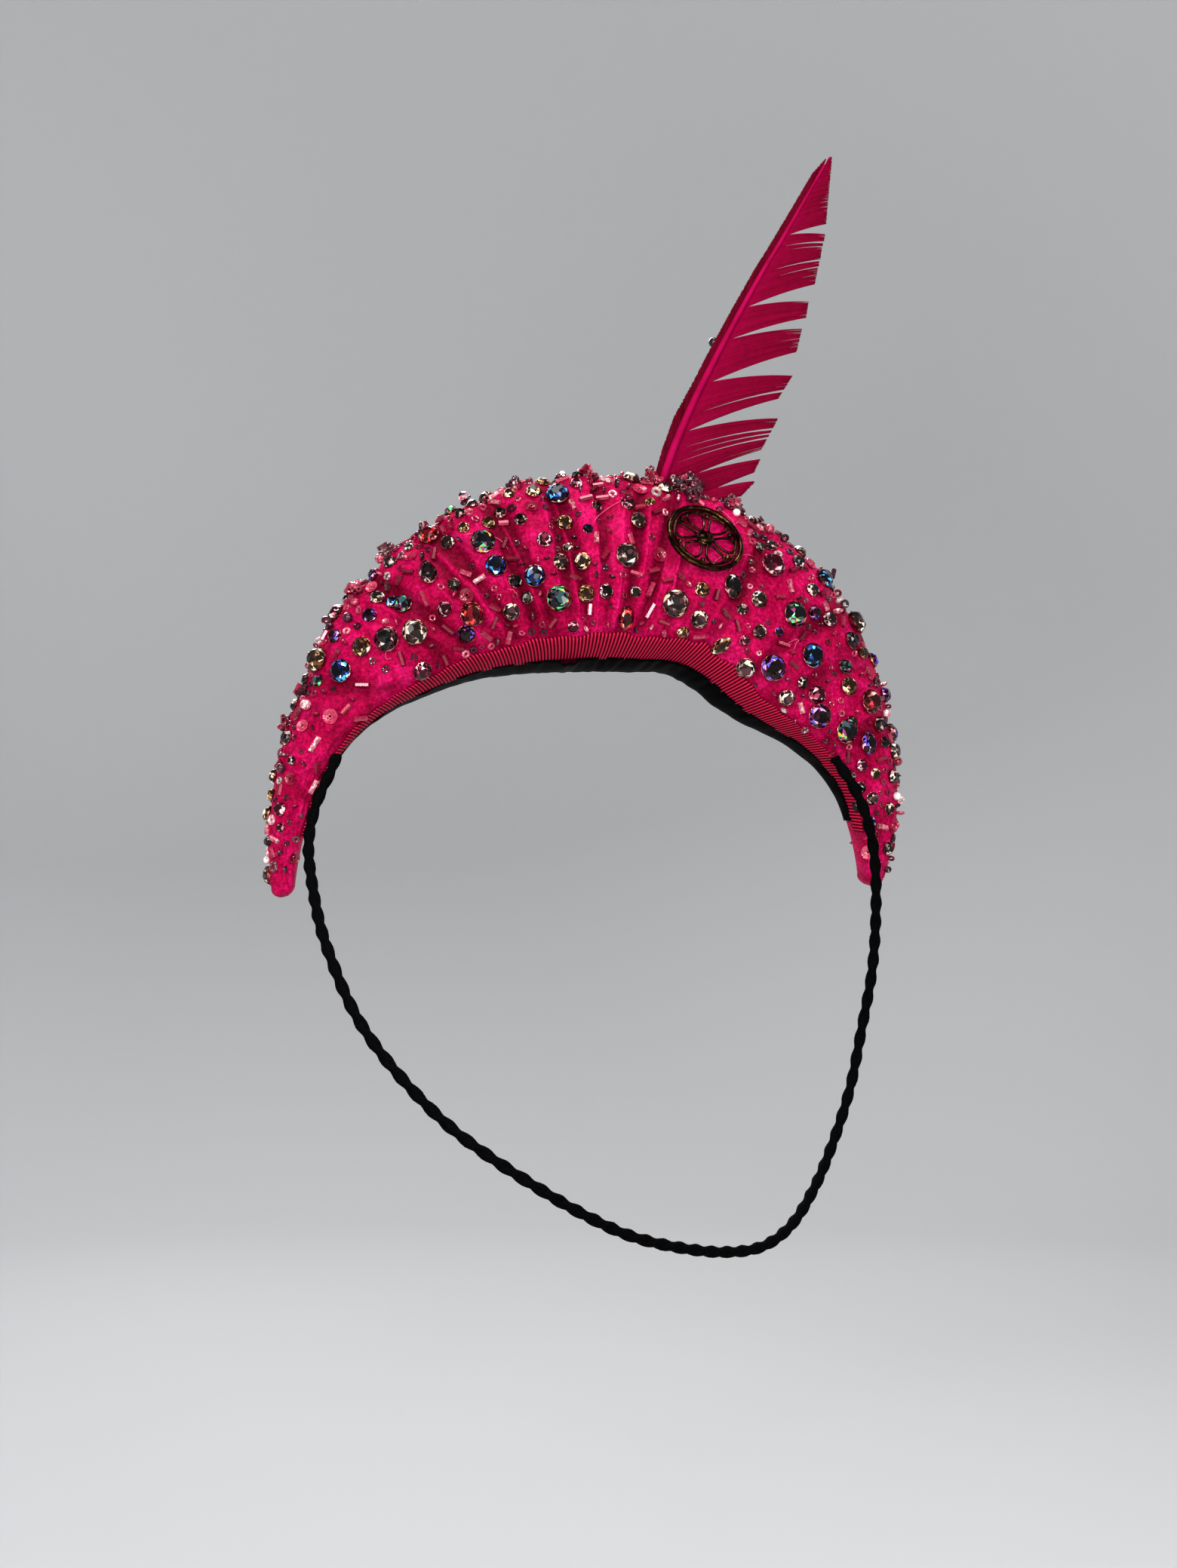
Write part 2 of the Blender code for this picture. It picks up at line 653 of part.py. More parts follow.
def build_feather_bead(collection, material):
    centre = feather_point(BEAD_PLACE, -(FEATHER_THICK / 2 + GAP + BEAD_RADIUS))
    mesh = bmesh.new()
    bmesh.ops.create_uvsphere(mesh, u_segments=12, v_segments=8, radius=BEAD_RADIUS * MM)
    bmesh.ops.translate(mesh, verts=mesh.verts, vec=centre * MM)
    return add_object("feather_bead", mesh, material, collection)


def flat_outline(data, points):
    spline = data.splines.new("POLY")
    spline.points.add(len(points) - 1)
    for point, (x, y) in zip(spline.points, points):
        point.co = (x * MM, y * MM, 0.0, 1.0)
    spline.use_cyclic_u = True


def petal(angle):
    """One opening of the rosette: narrow at the boss, round at the rim."""
    near = BADGE_BOSS + PETAL_INSET
    far = BADGE_RADIUS - BADGE_RIM - PETAL_INSET
    spread = math.tan(math.pi / BADGE_PETALS)
    points = []
    for step in range(PETAL_POINTS):
        around = 2 * math.pi * step / PETAL_POINTS
        reach = (near + far) / 2 + (far - near) / 2 * math.cos(around)
        aside = (reach * spread - PETAL_BAR) * math.sin(around)
        x = reach * math.cos(angle) - aside * math.sin(angle)
        y = reach * math.sin(angle) + aside * math.cos(angle)
        points.append((x, y))
    return points


def build_badge(collection, material, tree):
    """A flat gilt ring with a pierced rosette, seated on the pad."""
    centre, along, across, outward = badge_frame()
    data = bpy.data.curves.new("badge", "CURVE")
    data.dimensions = "2D"
    data.fill_mode = "BOTH"
    data.extrude = BADGE_THICK / 2 * MM
    rim = [2 * math.pi * step / 36 for step in range(36)]
    flat_outline(data, [(BADGE_RADIUS * math.cos(a), BADGE_RADIUS * math.sin(a)) for a in rim])
    for number in range(BADGE_PETALS):
        flat_outline(data, petal(2 * math.pi * number / BADGE_PETALS))
    heights = []
    for ring in range(1, 7):
        for a in rim:
            aside = (math.cos(a) * along + math.sin(a) * across) * BADGE_RADIUS * ring / 6
            place = tree.ray_cast((centre + aside + 8.0 * outward) * MM, -outward)[0]
            if place is not None:
                heights.append((place / MM - centre).dot(outward))
    lift = max(heights) + GAP + BADGE_THICK / 2
    obj = bpy.data.objects.new("badge_plate", data)
    collection.objects.link(obj)
    frame = Matrix((along, across, along.cross(across))).transposed().to_4x4()
    frame.translation = (centre + lift * outward) * MM
    obj.matrix_world = frame
    plate = as_mesh_object(obj, collection)
    plate.name = "badge"
    plate.data.materials.append(material)
    return plate


def build_elastic(collection, material):
    places = range(len(ROUTE))
    last = len(ROUTE) - 1
    steps = [last * step / (ELASTIC_POINTS - 1) for step in range(ELASTIC_POINTS)]
    points = [Vector(curve_through(ROUTE, places, step)) for step in steps]
    obj = curve_object("nape_elastic", points, [1.0] * len(points), ELASTIC_RADIUS, collection)
    obj.data.materials.append(material)
    return obj


clear_scene()
headband = new_collection("padded_halo_headband")
cutters = new_collection("helpers")
finishes = {name: finish_material(name, finish) for name, finish in FINISHES.items()}

pad = build_pad(headband, finishes["fabric"])
build_ribbon(headband, finishes["ribbon"])
build_lining(headband, finishes["satin"])
bpy.context.view_layer.update()
pad_tree = BVHTree.FromObject(pad, bpy.context.evaluated_depsgraph_get())
build_badge(headband, finishes["gilt"], pad_tree)
build_stones(headband, finishes, pad_tree)
build_feather(headband, cutters, finishes["feather"])
build_feather_bead(headband, finishes["smoke"])
build_elastic(headband, finishes["elastic"])
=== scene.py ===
"""A padded halo headband of gathered hot pink velvet, sewn over with cut stones, beads, sequins, a
gilt openwork badge and one trimmed feather. X points to the wearer's left, Y to the back and Z up."""

import json
import math

import bmesh
import bpy
import numpy as np
from mathutils import Matrix, Vector
from mathutils.bvhtree import BVHTree


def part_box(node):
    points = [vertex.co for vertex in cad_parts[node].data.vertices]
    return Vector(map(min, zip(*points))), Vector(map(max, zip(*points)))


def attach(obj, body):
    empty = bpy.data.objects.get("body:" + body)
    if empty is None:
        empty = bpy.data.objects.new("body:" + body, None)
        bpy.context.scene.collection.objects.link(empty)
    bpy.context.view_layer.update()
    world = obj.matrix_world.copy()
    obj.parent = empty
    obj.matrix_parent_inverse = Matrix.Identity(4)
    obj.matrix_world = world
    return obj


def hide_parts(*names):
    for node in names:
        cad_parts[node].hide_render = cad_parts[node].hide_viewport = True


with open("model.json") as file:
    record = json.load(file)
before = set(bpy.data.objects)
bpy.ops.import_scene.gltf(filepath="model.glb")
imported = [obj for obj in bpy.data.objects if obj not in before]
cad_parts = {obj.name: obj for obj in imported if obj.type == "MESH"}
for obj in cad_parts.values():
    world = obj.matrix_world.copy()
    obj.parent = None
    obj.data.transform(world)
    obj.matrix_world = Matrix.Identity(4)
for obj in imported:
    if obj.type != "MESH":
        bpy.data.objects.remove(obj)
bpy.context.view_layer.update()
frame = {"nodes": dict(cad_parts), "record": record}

# The camera
# A long lens held level at the height of the arch's centre, behind the wearer and a little to the
# left of them.
MM = 0.001
ARCH_CENTRE = Vector((0.0, 0.0, -32.0))
VIEW_TURN = math.radians(12.0)
VIEW_DISTANCE = 760.0
VIEW_BACK = Vector((math.sin(VIEW_TURN), math.cos(VIEW_TURN), 0.0))
VIEW_LEFT = Vector((math.cos(VIEW_TURN), -math.sin(VIEW_TURN), 0.0))
VIEW_UP = Vector((0.0, 0.0, 1.0))
VIEW_ASIDE = 1.1
camera_data = bpy.data.cameras.new("camera")
camera_data.sensor_fit = "VERTICAL"
camera_data.sensor_height = 36.0
camera_data.lens = 59.8
camera_data.clip_start = 0.01
camera = bpy.data.objects.new("camera", camera_data)
bpy.context.scene.collection.objects.link(camera)
camera.location = MM * (ARCH_CENTRE + VIEW_DISTANCE * VIEW_BACK + VIEW_ASIDE * VIEW_LEFT)
camera.rotation_euler = (math.radians(90.0), 0.0, math.radians(180.0) - VIEW_TURN)
bpy.context.scene.camera = camera


# The nape elastic
# Black elastic cord, two strands twisted together to 3.5 mm. It runs from limb to limb round the
# nape, and both ends are stitched behind the ribbon.
def finish(name, sockets):
    """A new material, with what is the same all over set on its shader."""
    material = bpy.data.materials.new(name)
    material.use_nodes = True
    shader = material.node_tree.nodes["Principled BSDF"]
    for socket, value in sockets.items():
        shader.inputs[socket].default_value = value
    return material, shader


def texture(material, kind, **settings):
    """A node in the material: lower-case settings are its own, the others are its sockets'."""
    made = material.node_tree.nodes.new(kind)
    for key, value in settings.items():
        if key[0].islower():
            setattr(made, key, value)
        else:
            made.inputs[key.replace("_", " ")].default_value = value
    return made


def wire(material, source, target):
    material.node_tree.links.new(source, target)


def place_in(material, made):
    """The texture takes its place from the piece's own coordinates."""
    wire(material, texture(material, "ShaderNodeTexCoord").outputs["Object"], made.inputs["Vector"])
    return made


def ramp(material, source, stops, steps=False):
    """Colours along a value, as (place, (red, green, blue)) stops."""
    made = texture(material, "ShaderNodeValToRGB")
    made.color_ramp.interpolation = "CONSTANT" if steps else "LINEAR"
    while len(made.color_ramp.elements) < len(stops):
        made.color_ramp.elements.new(0.5)
    for element, (place, colour) in zip(made.color_ramp.elements, stops):
        element.position = place
        element.color = (*colour, 1.0)
    wire(material, source, made.inputs["Fac"])
    return made.outputs["Color"]


def noise_mottled_colours(material, shader, scale, stops, **settings):
    """The piece's colours, mottled by a fine noise of this scale. The noise is given for its relief."""
    noise = texture(material, "ShaderNodeTexNoise", Scale=scale, **settings)
    mottle = place_in(material, noise).outputs["Fac"]
    wire(material, ramp(material, mottle, stops), shader.inputs["Base Color"])
    return mottle


def relief(material, shader, source, height, strength=1.0, under=None):
    """A bump of this height in metres, over another one if it is given."""
    bump = texture(material, "ShaderNodeBump", Strength=strength, Distance=height)
    wire(material, source, bump.inputs["Height"])
    if under is not None:
        wire(material, under, bump.inputs["Normal"])
    wire(material, bump.outputs["Normal"], shader.inputs["Normal"])
    return bump.outputs["Normal"]


def new_piece(name, data, material, smooth=True):
    obj = bpy.data.objects.new(name, data)
    bpy.context.scene.collection.objects.link(obj)
    data.materials.append(material)
    if smooth:
        data.shade_smooth()
    return obj


def faces_over(count, around, capped=True, looped=False):
    """Faces over rings of points, with both ends filled, or with the last ring joined to the first."""
    index = np.arange(count * around).reshape(count, around)
    after = np.roll(index, -1, axis=1)
    corners = (index, after, np.roll(after, -1, axis=0), np.roll(index, -1, axis=0))
    rows = count if looped else count - 1
    faces = np.stack([corner[:rows] for corner in corners], axis=-1).reshape(-1, 4).tolist()
    if capped and not looped:
        faces += [index[0, ::-1].tolist(), index[-1].tolist()]
    return faces


def skin(name, rings, material, capped=True):
    """A skin over rings of points in mm, its ends filled."""
    rings = np.asarray(rings, float)
    data = bpy.data.meshes.new(name)
    data.from_pydata((rings.reshape(-1, 3) * MM).tolist(), [], faces_over(*rings.shape[:2], capped))
    mesh = bmesh.new()
    mesh.from_mesh(data)
    bmesh.ops.recalc_face_normals(mesh, faces=mesh.faces)
    mesh.to_mesh(data)
    mesh.free()
    return new_piece(name, data, material)


def cubic(values, places, at):
    """Smooth values at these places, through the table's rows."""
    places = np.asarray(places, float)
    values = np.asarray(values, float)
    slopes = np.gradient(values, places, axis=0)
    row = np.clip(np.searchsorted(places, at) - 1, 0, len(places) - 2)
    span = (places[row + 1] - places[row])[..., None]
    t = np.clip((at - places[row])[..., None] / span, 0.0, 1.0)
    return (
        (2 * t**3 - 3 * t**2 + 1) * values[row]
        + (t**3 - 2 * t**2 + t) * span * slopes[row]
        + (3 * t**2 - 2 * t**3) * values[row + 1]
        + (t**3 - t**2) * span * slopes[row + 1]
    )


def smooth_path(points, steps):
    """A cubic through these points, cut into equal lengths."""
    curve = cubic(points, range(len(points)), np.linspace(0.0, len(points) - 1, 12 * len(points)))
    lengths = np.concatenate([[0.0], np.cumsum(np.linalg.norm(np.diff(curve, axis=0), axis=1))])
    at = np.linspace(0.0, lengths[-1], steps)
    return np.stack([np.interp(at, lengths, curve[:, axis]) for axis in range(3)], axis=1), lengths[-1]


def sweep(path, sections):
    """Rings of offsets, aside and above, carried along a path without turning round it."""
    tangents = np.gradient(path, axis=0)
    tangents /= np.linalg.norm(tangents, axis=1)[:, None]
    side = np.cross(tangents[0], (0.3, 0.2, 1.0))
    rings = []
    for centre, tangent, section in zip(path, tangents, sections):
        side = side - tangent * side.dot(tangent)
        side /= np.linalg.norm(side)
        rings.append(centre + section[:, :1] * side + section[:, 1:] * np.cross(side, tangent))
    return np.array(rings)


# From the left limb down over the nape and up the far side, in mm: to the left, back and up.
ROUTE = (
    (75.9, 10.4, -24.1),
    (77.4, 12.4, -27.6),
    (79.6, 13.8, -32.0),
    (82.3, 15.2, -38.0),
    (84.4, 18.8, -45.6),
    (85.2, 25.6, -53.6),
    (84.2, 39.4, -68.0),
    (81.9, 48.0, -78.1),
    (77.6, 55.8, -90.1),
    (72.0, 61.4, -100.1),
    (63.5, 66.9, -111.0),
    (53.6, 70.4, -121.1),
    (43.6, 72.3, -128.9),
    (31.1, 72.1, -137.3),
    (17.8, 68.8, -145.5),
    (3.8, 63.6, -152.7),
    (-10.7, 57.1, -157.5),
    (-26.2, 48.5, -161.0),
    (-39.8, 40.1, -161.5),
    (-51.0, 31.0, -157.5),
    (-61.0, 20.5, -149.0),
    (-70.0, 10.0, -137.5),
    (-77.5, 3.0, -122.5),
    (-82.0, 0.5, -105.0),
    (-84.5, 3.0, -87.0),
    (-84.0, 8.0, -69.0),
    (-82.0, 12.6, -53.0),
    (-78.6, 14.8, -41.0),
    (-75.0, 14.6, -33.0),
    (-72.2, 13.0, -28.0),
    (-70.4, 10.8, -24.5),
)
ELASTIC_RADIUS = 1.75
ELASTIC_TWIST = 12.0  # length of one full turn of the two strands
ELASTIC_WAIST = 0.30  # how far the section pulls in between the strands
ELASTIC_RINGS = 620
ELASTIC_AROUND = 18

elastic_path, elastic_length = smooth_path(ROUTE, ELASTIC_RINGS)
along = np.linspace(0.0, elastic_length, ELASTIC_RINGS)[:, None]
angle = np.linspace(0.0, 2 * np.pi, ELASTIC_AROUND, endpoint=False)[None, :]
strands = angle - 2 * np.pi * along / ELASTIC_TWIST
reach = ELASTIC_RADIUS * (1.0 - ELASTIC_WAIST * np.sin(strands) ** 2)
reach *= 1.0 - 0.03 * (1 + np.sin(2 * np.pi * along / 0.9 + 6 * strands)) / 2
elastic_sections = np.stack([reach * np.cos(angle), reach * np.sin(angle)], axis=-1)

ELASTIC_BLACK = ((0.3, (0.0004, 0.0004, 0.0005)), (0.8, (0.0025, 0.0025, 0.0028)))
elastic_cloth, elastic_shader = finish("black_elastic", {"Roughness": 0.8, "Specular IOR Level": 0.01})
elastic_threads = noise_mottled_colours(elastic_cloth, elastic_shader, 2600.0, ELASTIC_BLACK, Detail=3.0)
relief(elastic_cloth, elastic_shader, elastic_threads, 0.0002)
nape_elastic = skin("nape_elastic_cord", sweep(elastic_path, elastic_sections), elastic_cloth)
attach(nape_elastic, "root")
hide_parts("nape_elastic")

# The floor and the light
# A pale round studio cove, open above, lit from above and along its walls by soft panels, with a
# few small bright lamps that the stones catch.
bpy.context.scene.view_settings.view_transform = "Standard"
COVE_FLOOR = -330.0
COVE_RADIUS = 1500.0
COVE_BEND = 500.0
COVE_HEIGHT = 2000.0
cove_steps = [(radius, COVE_FLOOR) for radius in (0.02, 400.0, COVE_RADIUS - COVE_BEND)]
for step in range(1, 13):
    bend = math.pi / 2 * step / 12
    cove_steps.append(
        (COVE_RADIUS - COVE_BEND + COVE_BEND * math.sin(bend), COVE_FLOOR + COVE_BEND * (1 - math.cos(bend)))
    )
cove_steps.append((COVE_RADIUS, COVE_HEIGHT))
cove_paint, cove_shader = finish("cove_paint", {"Roughness": 0.9, "Specular IOR Level": 0.1})
noise_mottled_colours(cove_paint, cove_shader, 1.2, ((0.3, (0.44, 0.443, 0.450)), (0.7, (0.48, 0.484, 0.492))), Detail=1.0)


def ring_of(radius, count, height=0.0):
    """Places in a circle round the third axis."""
    turns = [2 * math.pi * side / count for side in range(count)]
    return [(radius * math.cos(turn), radius * math.sin(turn), height) for turn in turns]


cove_rings = [ring_of(radius, 96, up) for radius, up in cove_steps]
cove = skin("studio_cove", cove_rings, cove_paint, capped=False)


def lamp(name, place, target, size, power, mirrored=True):
    """A square lamp at this place in mm, turned to its target. A lamp that is not mirrored is left out of
    glossy reflections, so that polished glass doesn't mirror it."""
    data = bpy.data.lights.new(name, "AREA")
    data.shape = "SQUARE"
    data.size = size * MM
    data.energy = power
    obj = bpy.data.objects.new(name, data)
    bpy.context.scene.collection.objects.link(obj)
    obj.location = MM * Vector(place)
    obj.rotation_euler = (Vector(target) - Vector(place)).to_track_quat("-Z", "Y").to_euler()
    obj.visible_glossy = mirrored


lamp("ceiling_panel", (0.0, 300.0, 1500.0), (0.0, 0.0, 0.0), 1500.0, 3.0, mirrored=False)
lamp("wall_panel", (0.0, 100.0, 1300.0), (0.0, -1400.0, 100.0), 700.0, 12.0)
key_place = ARCH_CENTRE + 620 * VIEW_BACK + 300 * VIEW_LEFT + 300 * VIEW_UP
lamp("key_panel", key_place, (0.0, 0.0, 20.0), 260.0, 2.9, mirrored=False)
window_place = ARCH_CENTRE + 700 * VIEW_BACK - 560 * VIEW_LEFT + 200 * VIEW_UP
lamp("window_panel", window_place, (0.0, 0.0, 0.0), 300.0, 2.5, mirrored=False)
lamp("rear_wall_panel", (0.0, 500.0, 1300.0), (0.0, 1400.0, 100.0), 700.0, 8.0, mirrored=False)
lamp("front_panel", (0.0, -1000.0, 600.0), (0.0, 0.0, 0.0), 500.0, 8.0)
# To the left of the camera's line and above the arch's centre.
SPARKS = (
    (-300.0, 330.0), (260.0, 240.0), (60.0, 430.0), (-120.0, 120.0), (420.0, 60.0),
    (-480.0, 90.0), (150.0, -60.0), (-180.0, 560.0), (340.0, 500.0), (-620.0, 420.0),
)
for number, (left, up) in enumerate(SPARKS, 1):
    place = ARCH_CENTRE + 820 * VIEW_BACK + left * VIEW_LEFT + up * VIEW_UP
    lamp(f"spark_{number}", place, (0.0, 0.0, 30.0), 90.0, 0.84)
world = bpy.data.worlds.new("studio_air")
world.use_nodes = True
world.node_tree.nodes["Background"].inputs["Color"].default_value = (0.93, 0.96, 1.0, 1.0)
world.node_tree.nodes["Background"].inputs["Strength"].default_value = 0.10
bpy.context.scene.world = world

# The halo pad
# A crescent of padding on a stiff band, covered in hot pink velvet that is gathered across it and
# drawn in by its stitches. The cover is one form from ear to ear.
# The turn from the arch's top in degrees, then the inner and outer radius and the thickness in mm.
SECTIONS = (
    (-108.0, 86.0, 93.2, 8.0),
    (-100.0, 81.0, 93.5, 11.5),
    (-90.0, 74.5, 93.0, 16.5),
    (-80.0, 64.5, 92.8, 22.0),
    (-70.0, 54.0, 93.2, 26.5),
    (-60.0, 48.5, 93.2, 30.0),
    (-48.0, 46.0, 93.5, 32.5),
    (-35.0, 43.5, 92.6, 34.5),
    (-20.0, 39.0, 91.0, 36.0),
    (0.0, 37.0, 90.0, 36.0),
    (20.0, 38.5, 89.2, 36.0),
    (35.0, 42.5, 88.6, 35.0),
    (50.0, 49.5, 88.7, 32.5),
    (62.0, 57.0, 88.9, 29.5),
    (74.0, 67.5, 89.5, 25.0),
    (84.0, 75.5, 91.0, 19.5),
    (94.0, 82.0, 93.6, 14.0),
    (102.0, 87.0, 96.0, 10.5),
    (108.0, 91.2, 98.0, 8.0),
)
# Once round a section from the ribbon's lower edge over the back: shares of half the thickness and
# of the height.
PROFILE = (
    (0.30, 0.00),
    (0.80, 0.11),
    (1.00, 0.26),
    (0.95, 0.45),
    (0.77, 0.67),
    (0.44, 0.88),
    (-0.06, 1.00),
    (-0.56, 0.88),
    (-0.88, 0.65),
    (-1.00, 0.38),
    (-0.90, 0.06),
    (-0.40, -0.06),
)
SHARES = len(PROFILE)
RIBBON_TOP = 1
FRONT_EDGE = 10
# The main gathers: where each meets the ribbon, its lean, its depth in mm and its half width.
FOLDS = (
    (80.0, -5.0, 0.9, 3.0),
    (66.0, 5.0, 1.3, 3.0),
    (53.0, -4.0, 1.3, 2.4),
    (45.0, 3.0, 1.8, 2.0),
    (38.0, -2.0, 1.6, 1.8),
    (31.0, 2.0, 2.0, 2.1),
    (24.0, -2.0, 1.8, 1.8),
    (18.0, 2.0, 1.6, 1.7),
    (12.0, -3.0, 1.6, 1.7),
    (5.5, 2.0, 1.8, 1.8),
    (-1.0, 1.0, 1.5, 1.7),
    (-7.0, -2.0, 1.9, 1.8),
    (-13.0, -3.0, 2.1, 2.0),
    (-22.0, 3.0, 1.0, 2.4),
    (-38.0, 4.0, 1.6, 2.6),
    (-52.0, -3.0, 1.2, 2.8),
    (-66.0, 3.0, 1.1, 3.0),
    (-82.0, 4.0, 0.9, 3.0),
)
# Raised pleats of the cover: the turn at the ribbon and at the ridge, the height and the half width.
PLEATS = (
    (-20.5, -18.0, 1.65, 0.55),
    (-16.0, -15.2, 0.75, 0.40),
    (-9.6, -10.5, 0.9, 0.50),
    (-3.5, -5.0, 0.75, 0.45),
    (2.5, 1.5, 0.9, 0.50),
    (8.5, 9.5, 0.9, 0.45),
    (14.5, 11.5, 1.05, 0.50),
    (20.8, 21.5, 0.9, 0.45),
    (27.4, 26.0, 1.05, 0.50),
    (34.6, 36.0, 1.05, 0.50),
    (41.6, 40.0, 0.9, 0.55),
    (49.0, 51.5, 0.75, 0.60),
    (58.0, 56.0, 0.6, 0.70),
    (-28.0, -25.0, 0.6, 0.60),
    (-33.5, -34.0, 0.75, 0.55),
    (-44.0, -41.0, 0.6, 0.60),
)
BADGE_TURN = -23.3
BADGE_SHARE = 4.26
BADGE_TIP = 11.0
BADGE_RADIUS = 12.0
BADGE_PRESS = 1.4
PRESS_MARGIN = 4.0
PRESS_REACH = 6.0
PAD_RINGS = 560
PAD_AROUND = 156


SECTION_TURNS = [row[0] for row in SECTIONS]
SECTION_VALUES = [row[1:] for row in SECTIONS]
PROFILE_PLACES = range(-2, SHARES + 3)
PROFILE_VALUES = [PROFILE[place % SHARES] for place in PROFILE_PLACES]


def pad_surface(turn, share, lift=0.0):
    """Points in mm on the pad's plain form, lifted off it, for arrays of turns and shares."""
    turn, share, lift = np.broadcast_arrays(np.asarray(turn, float), np.asarray(share, float), lift)
    inner, outer, depth = np.moveaxis(cubic(SECTION_VALUES, SECTION_TURNS, turn), -1, 0)
    size = np.stack([depth / 2, outer - inner], axis=-1)
    before, here, after = (
        cubic(PROFILE_VALUES, PROFILE_PLACES, share % SHARES + step) * size for step in (-0.01, 0.0, 0.01)
    )
    slope = after - before
    outward = np.stack([slope[..., 1], -slope[..., 0]], axis=-1)
    outward /= np.linalg.norm(outward, axis=-1)[..., None]
    back, rise = np.moveaxis(here + lift[..., None] * outward, -1, 0)
    angle = np.radians(turn)
    out = inner + rise
    return np.stack([out * np.sin(angle), back, ARCH_CENTRE.z + out * np.cos(angle)], axis=-1)


def gathers(turn, share):
    """How far the cover sinks into its gathers and rises in its pleats."""
    over = np.clip((share - RIBBON_TOP) / (FRONT_EDGE - RIBBON_TOP), 0.0, 1.0)
    strength = np.sin(np.pi * over) ** 0.35 * (1.0 - 0.55 * np.exp(-(((over - 0.56) / 0.12) ** 2)))
    sunk = np.zeros(np.broadcast(turn, share).shape)
    for at, lean, depth, width in FOLDS:
        sunk += depth * np.exp(-(((turn - at - lean * np.minimum(1.0, 2 * over)) / width) ** 2))
    for low, high, height, width in PLEATS:
        middle = low + (high - low) * np.minimum(1.0, 2 * over) + 0.5 * np.sin(7 * over + low)
        sunk -= height * np.exp(-(((turn - middle) / width) ** 2)) * np.sin(np.pi * over) ** 0.2
    return strength * sunk


def creases(turn, share, seed, wavelength, count):
    """Waves of many directions over the cover, from -1 to 1, with sharp valleys between."""
    draw = np.random.default_rng(seed)
    x, y = np.radians(turn) * 78.0, share * 11.0  # in mm, along the arch and round the section
    total = np.zeros(np.broadcast(x, y).shape)
    for _ in range(count):
        heading = draw.uniform(0.0, np.pi)
        length = wavelength * draw.uniform(0.6, 1.7)
        wave = x * np.cos(heading) + 0.6 * y * np.sin(heading)
        total += np.sin(2 * np.pi * wave / length + draw.uniform(0.0, 2 * np.pi))
    return np.tanh(total / math.sqrt(count / 2))


def badge_seat():
    """The badge's centre on the plain form, with axes along the arch, across it and outward."""
    centre, beside, above = (
        Vector(pad_surface(turn, share))
        for turn, share in (
            (BADGE_TURN, BADGE_SHARE),
            (BADGE_TURN - 1.0, BADGE_SHARE),
            (BADGE_TURN, BADGE_SHARE + 0.1),
        )
    )
    along = (beside - centre).normalized()
    outward = along.cross(above - centre).normalized()
    if outward.y < 0:
        outward.negate()
    tip = math.radians(BADGE_TIP)
    outward = math.cos(tip) * outward + math.sin(tip) * outward.cross(along)
    return centre, along, outward.cross(along), outward


badge_centre, badge_along, badge_across, badge_outward = badge_seat()


def cover(turn, share):
    """The gathered velvet cover, in mm, with its soft crush and the badge's dent."""
    band = np.clip((share - 0.9) / 0.8, 0.0, 1.0) * np.clip((10.6 - share) / 0.8, 0.0, 1.0)
    crush = 0.34 * creases(turn, share, 5, 13.0, 26) + 0.22 * creases(turn, share, 6, 5.5, 30)
    crush -= 0.16 * (1 - np.abs(creases(turn, share, 7, 8.0, 24))) ** 3
    points = pad_surface(turn, share, band * crush - gathers(turn, share))
    centre, outward = np.array(badge_centre), np.array(badge_outward)
    height = (points - centre) @ outward
    aside = np.linalg.norm(points - centre - height[..., None] * outward, axis=-1)
    press_radius = BADGE_RADIUS + PRESS_MARGIN
    pressed = BADGE_PRESS * (1.0 - np.minimum(1.0, aside / press_radius) ** 4)
    sink = (aside < press_radius) & (height > -PRESS_REACH) & (height > -pressed)
    return points - np.where(sink, height + pressed, 0.0)[..., None] * outward


velvet, velvet_shader = finish(
    "hot_pink_velvet",
    {
        "Roughness": 0.44,
        "Sheen Weight": 0.3,
        "Sheen Roughness": 0.3,
        "Sheen Tint": (1.0, 0.03, 0.20, 1.0),
        "Specular IOR Level": 0.08,
        "Specular Tint": (1.0, 0.25, 0.45, 1.0),
    },
)
# The nap's own pinks; the pile's own tone with painted sheen speckles on it; and painted shade in the
# gathers' depths up to a painted highlight on their crests.
NAP_PINKS = ((0.32, (0.23, 0.0005, 0.023)), (0.50, (0.37, 0.0010, 0.046)), (0.70, (0.54, 0.005, 0.094)))
PILE_TONE_AND_SHEEN_SPECKLE = ((0.36, (0.50, 0.45, 0.48)), (0.52, (0.92, 0.9, 0.9)), (0.66, (1.4, 2.4, 1.7)))
FOLD_SHADE_AND_CREST_HIGHLIGHT = (
    (0.05, (0.28, 0.14, 0.20)),
    (0.42, (0.74, 0.66, 0.70)),
    (0.62, (0.95, 0.95, 0.95)),
    (0.95, (1.08, 1.6, 1.35)),
)
pile_noise = texture(velvet, "ShaderNodeTexNoise", Scale=1000.0, Detail=4.0, Roughness=0.7)
pile = place_in(velvet, pile_noise).outputs["Fac"]
nap_noise = texture(velvet, "ShaderNodeTexNoise", Scale=95.0, Detail=5.0, Roughness=0.62, Distortion=0.6)
nap = place_in(velvet, nap_noise).outputs["Fac"]
fold_shade_value = texture(velvet, "ShaderNodeAttribute", attribute_name="fold_shade").outputs["Fac"]


def times(material, first, second):
    """Two colours multiplied."""
    made = texture(material, "ShaderNodeMix", data_type="RGBA", blend_type="MULTIPLY")
    made.inputs["Factor"].default_value = 1.0
    wire(material, first, made.inputs[6])
    wire(material, second, made.inputs[7])
    return made.outputs[2]


# The nap's pinks times the pile's own tone, with pale painted sheen speckles where the pile's noise is high.
nap_with_sheen_speckle = times(velvet, ramp(velvet, nap, NAP_PINKS), ramp(velvet, pile, PILE_TONE_AND_SHEEN_SPECKLE))
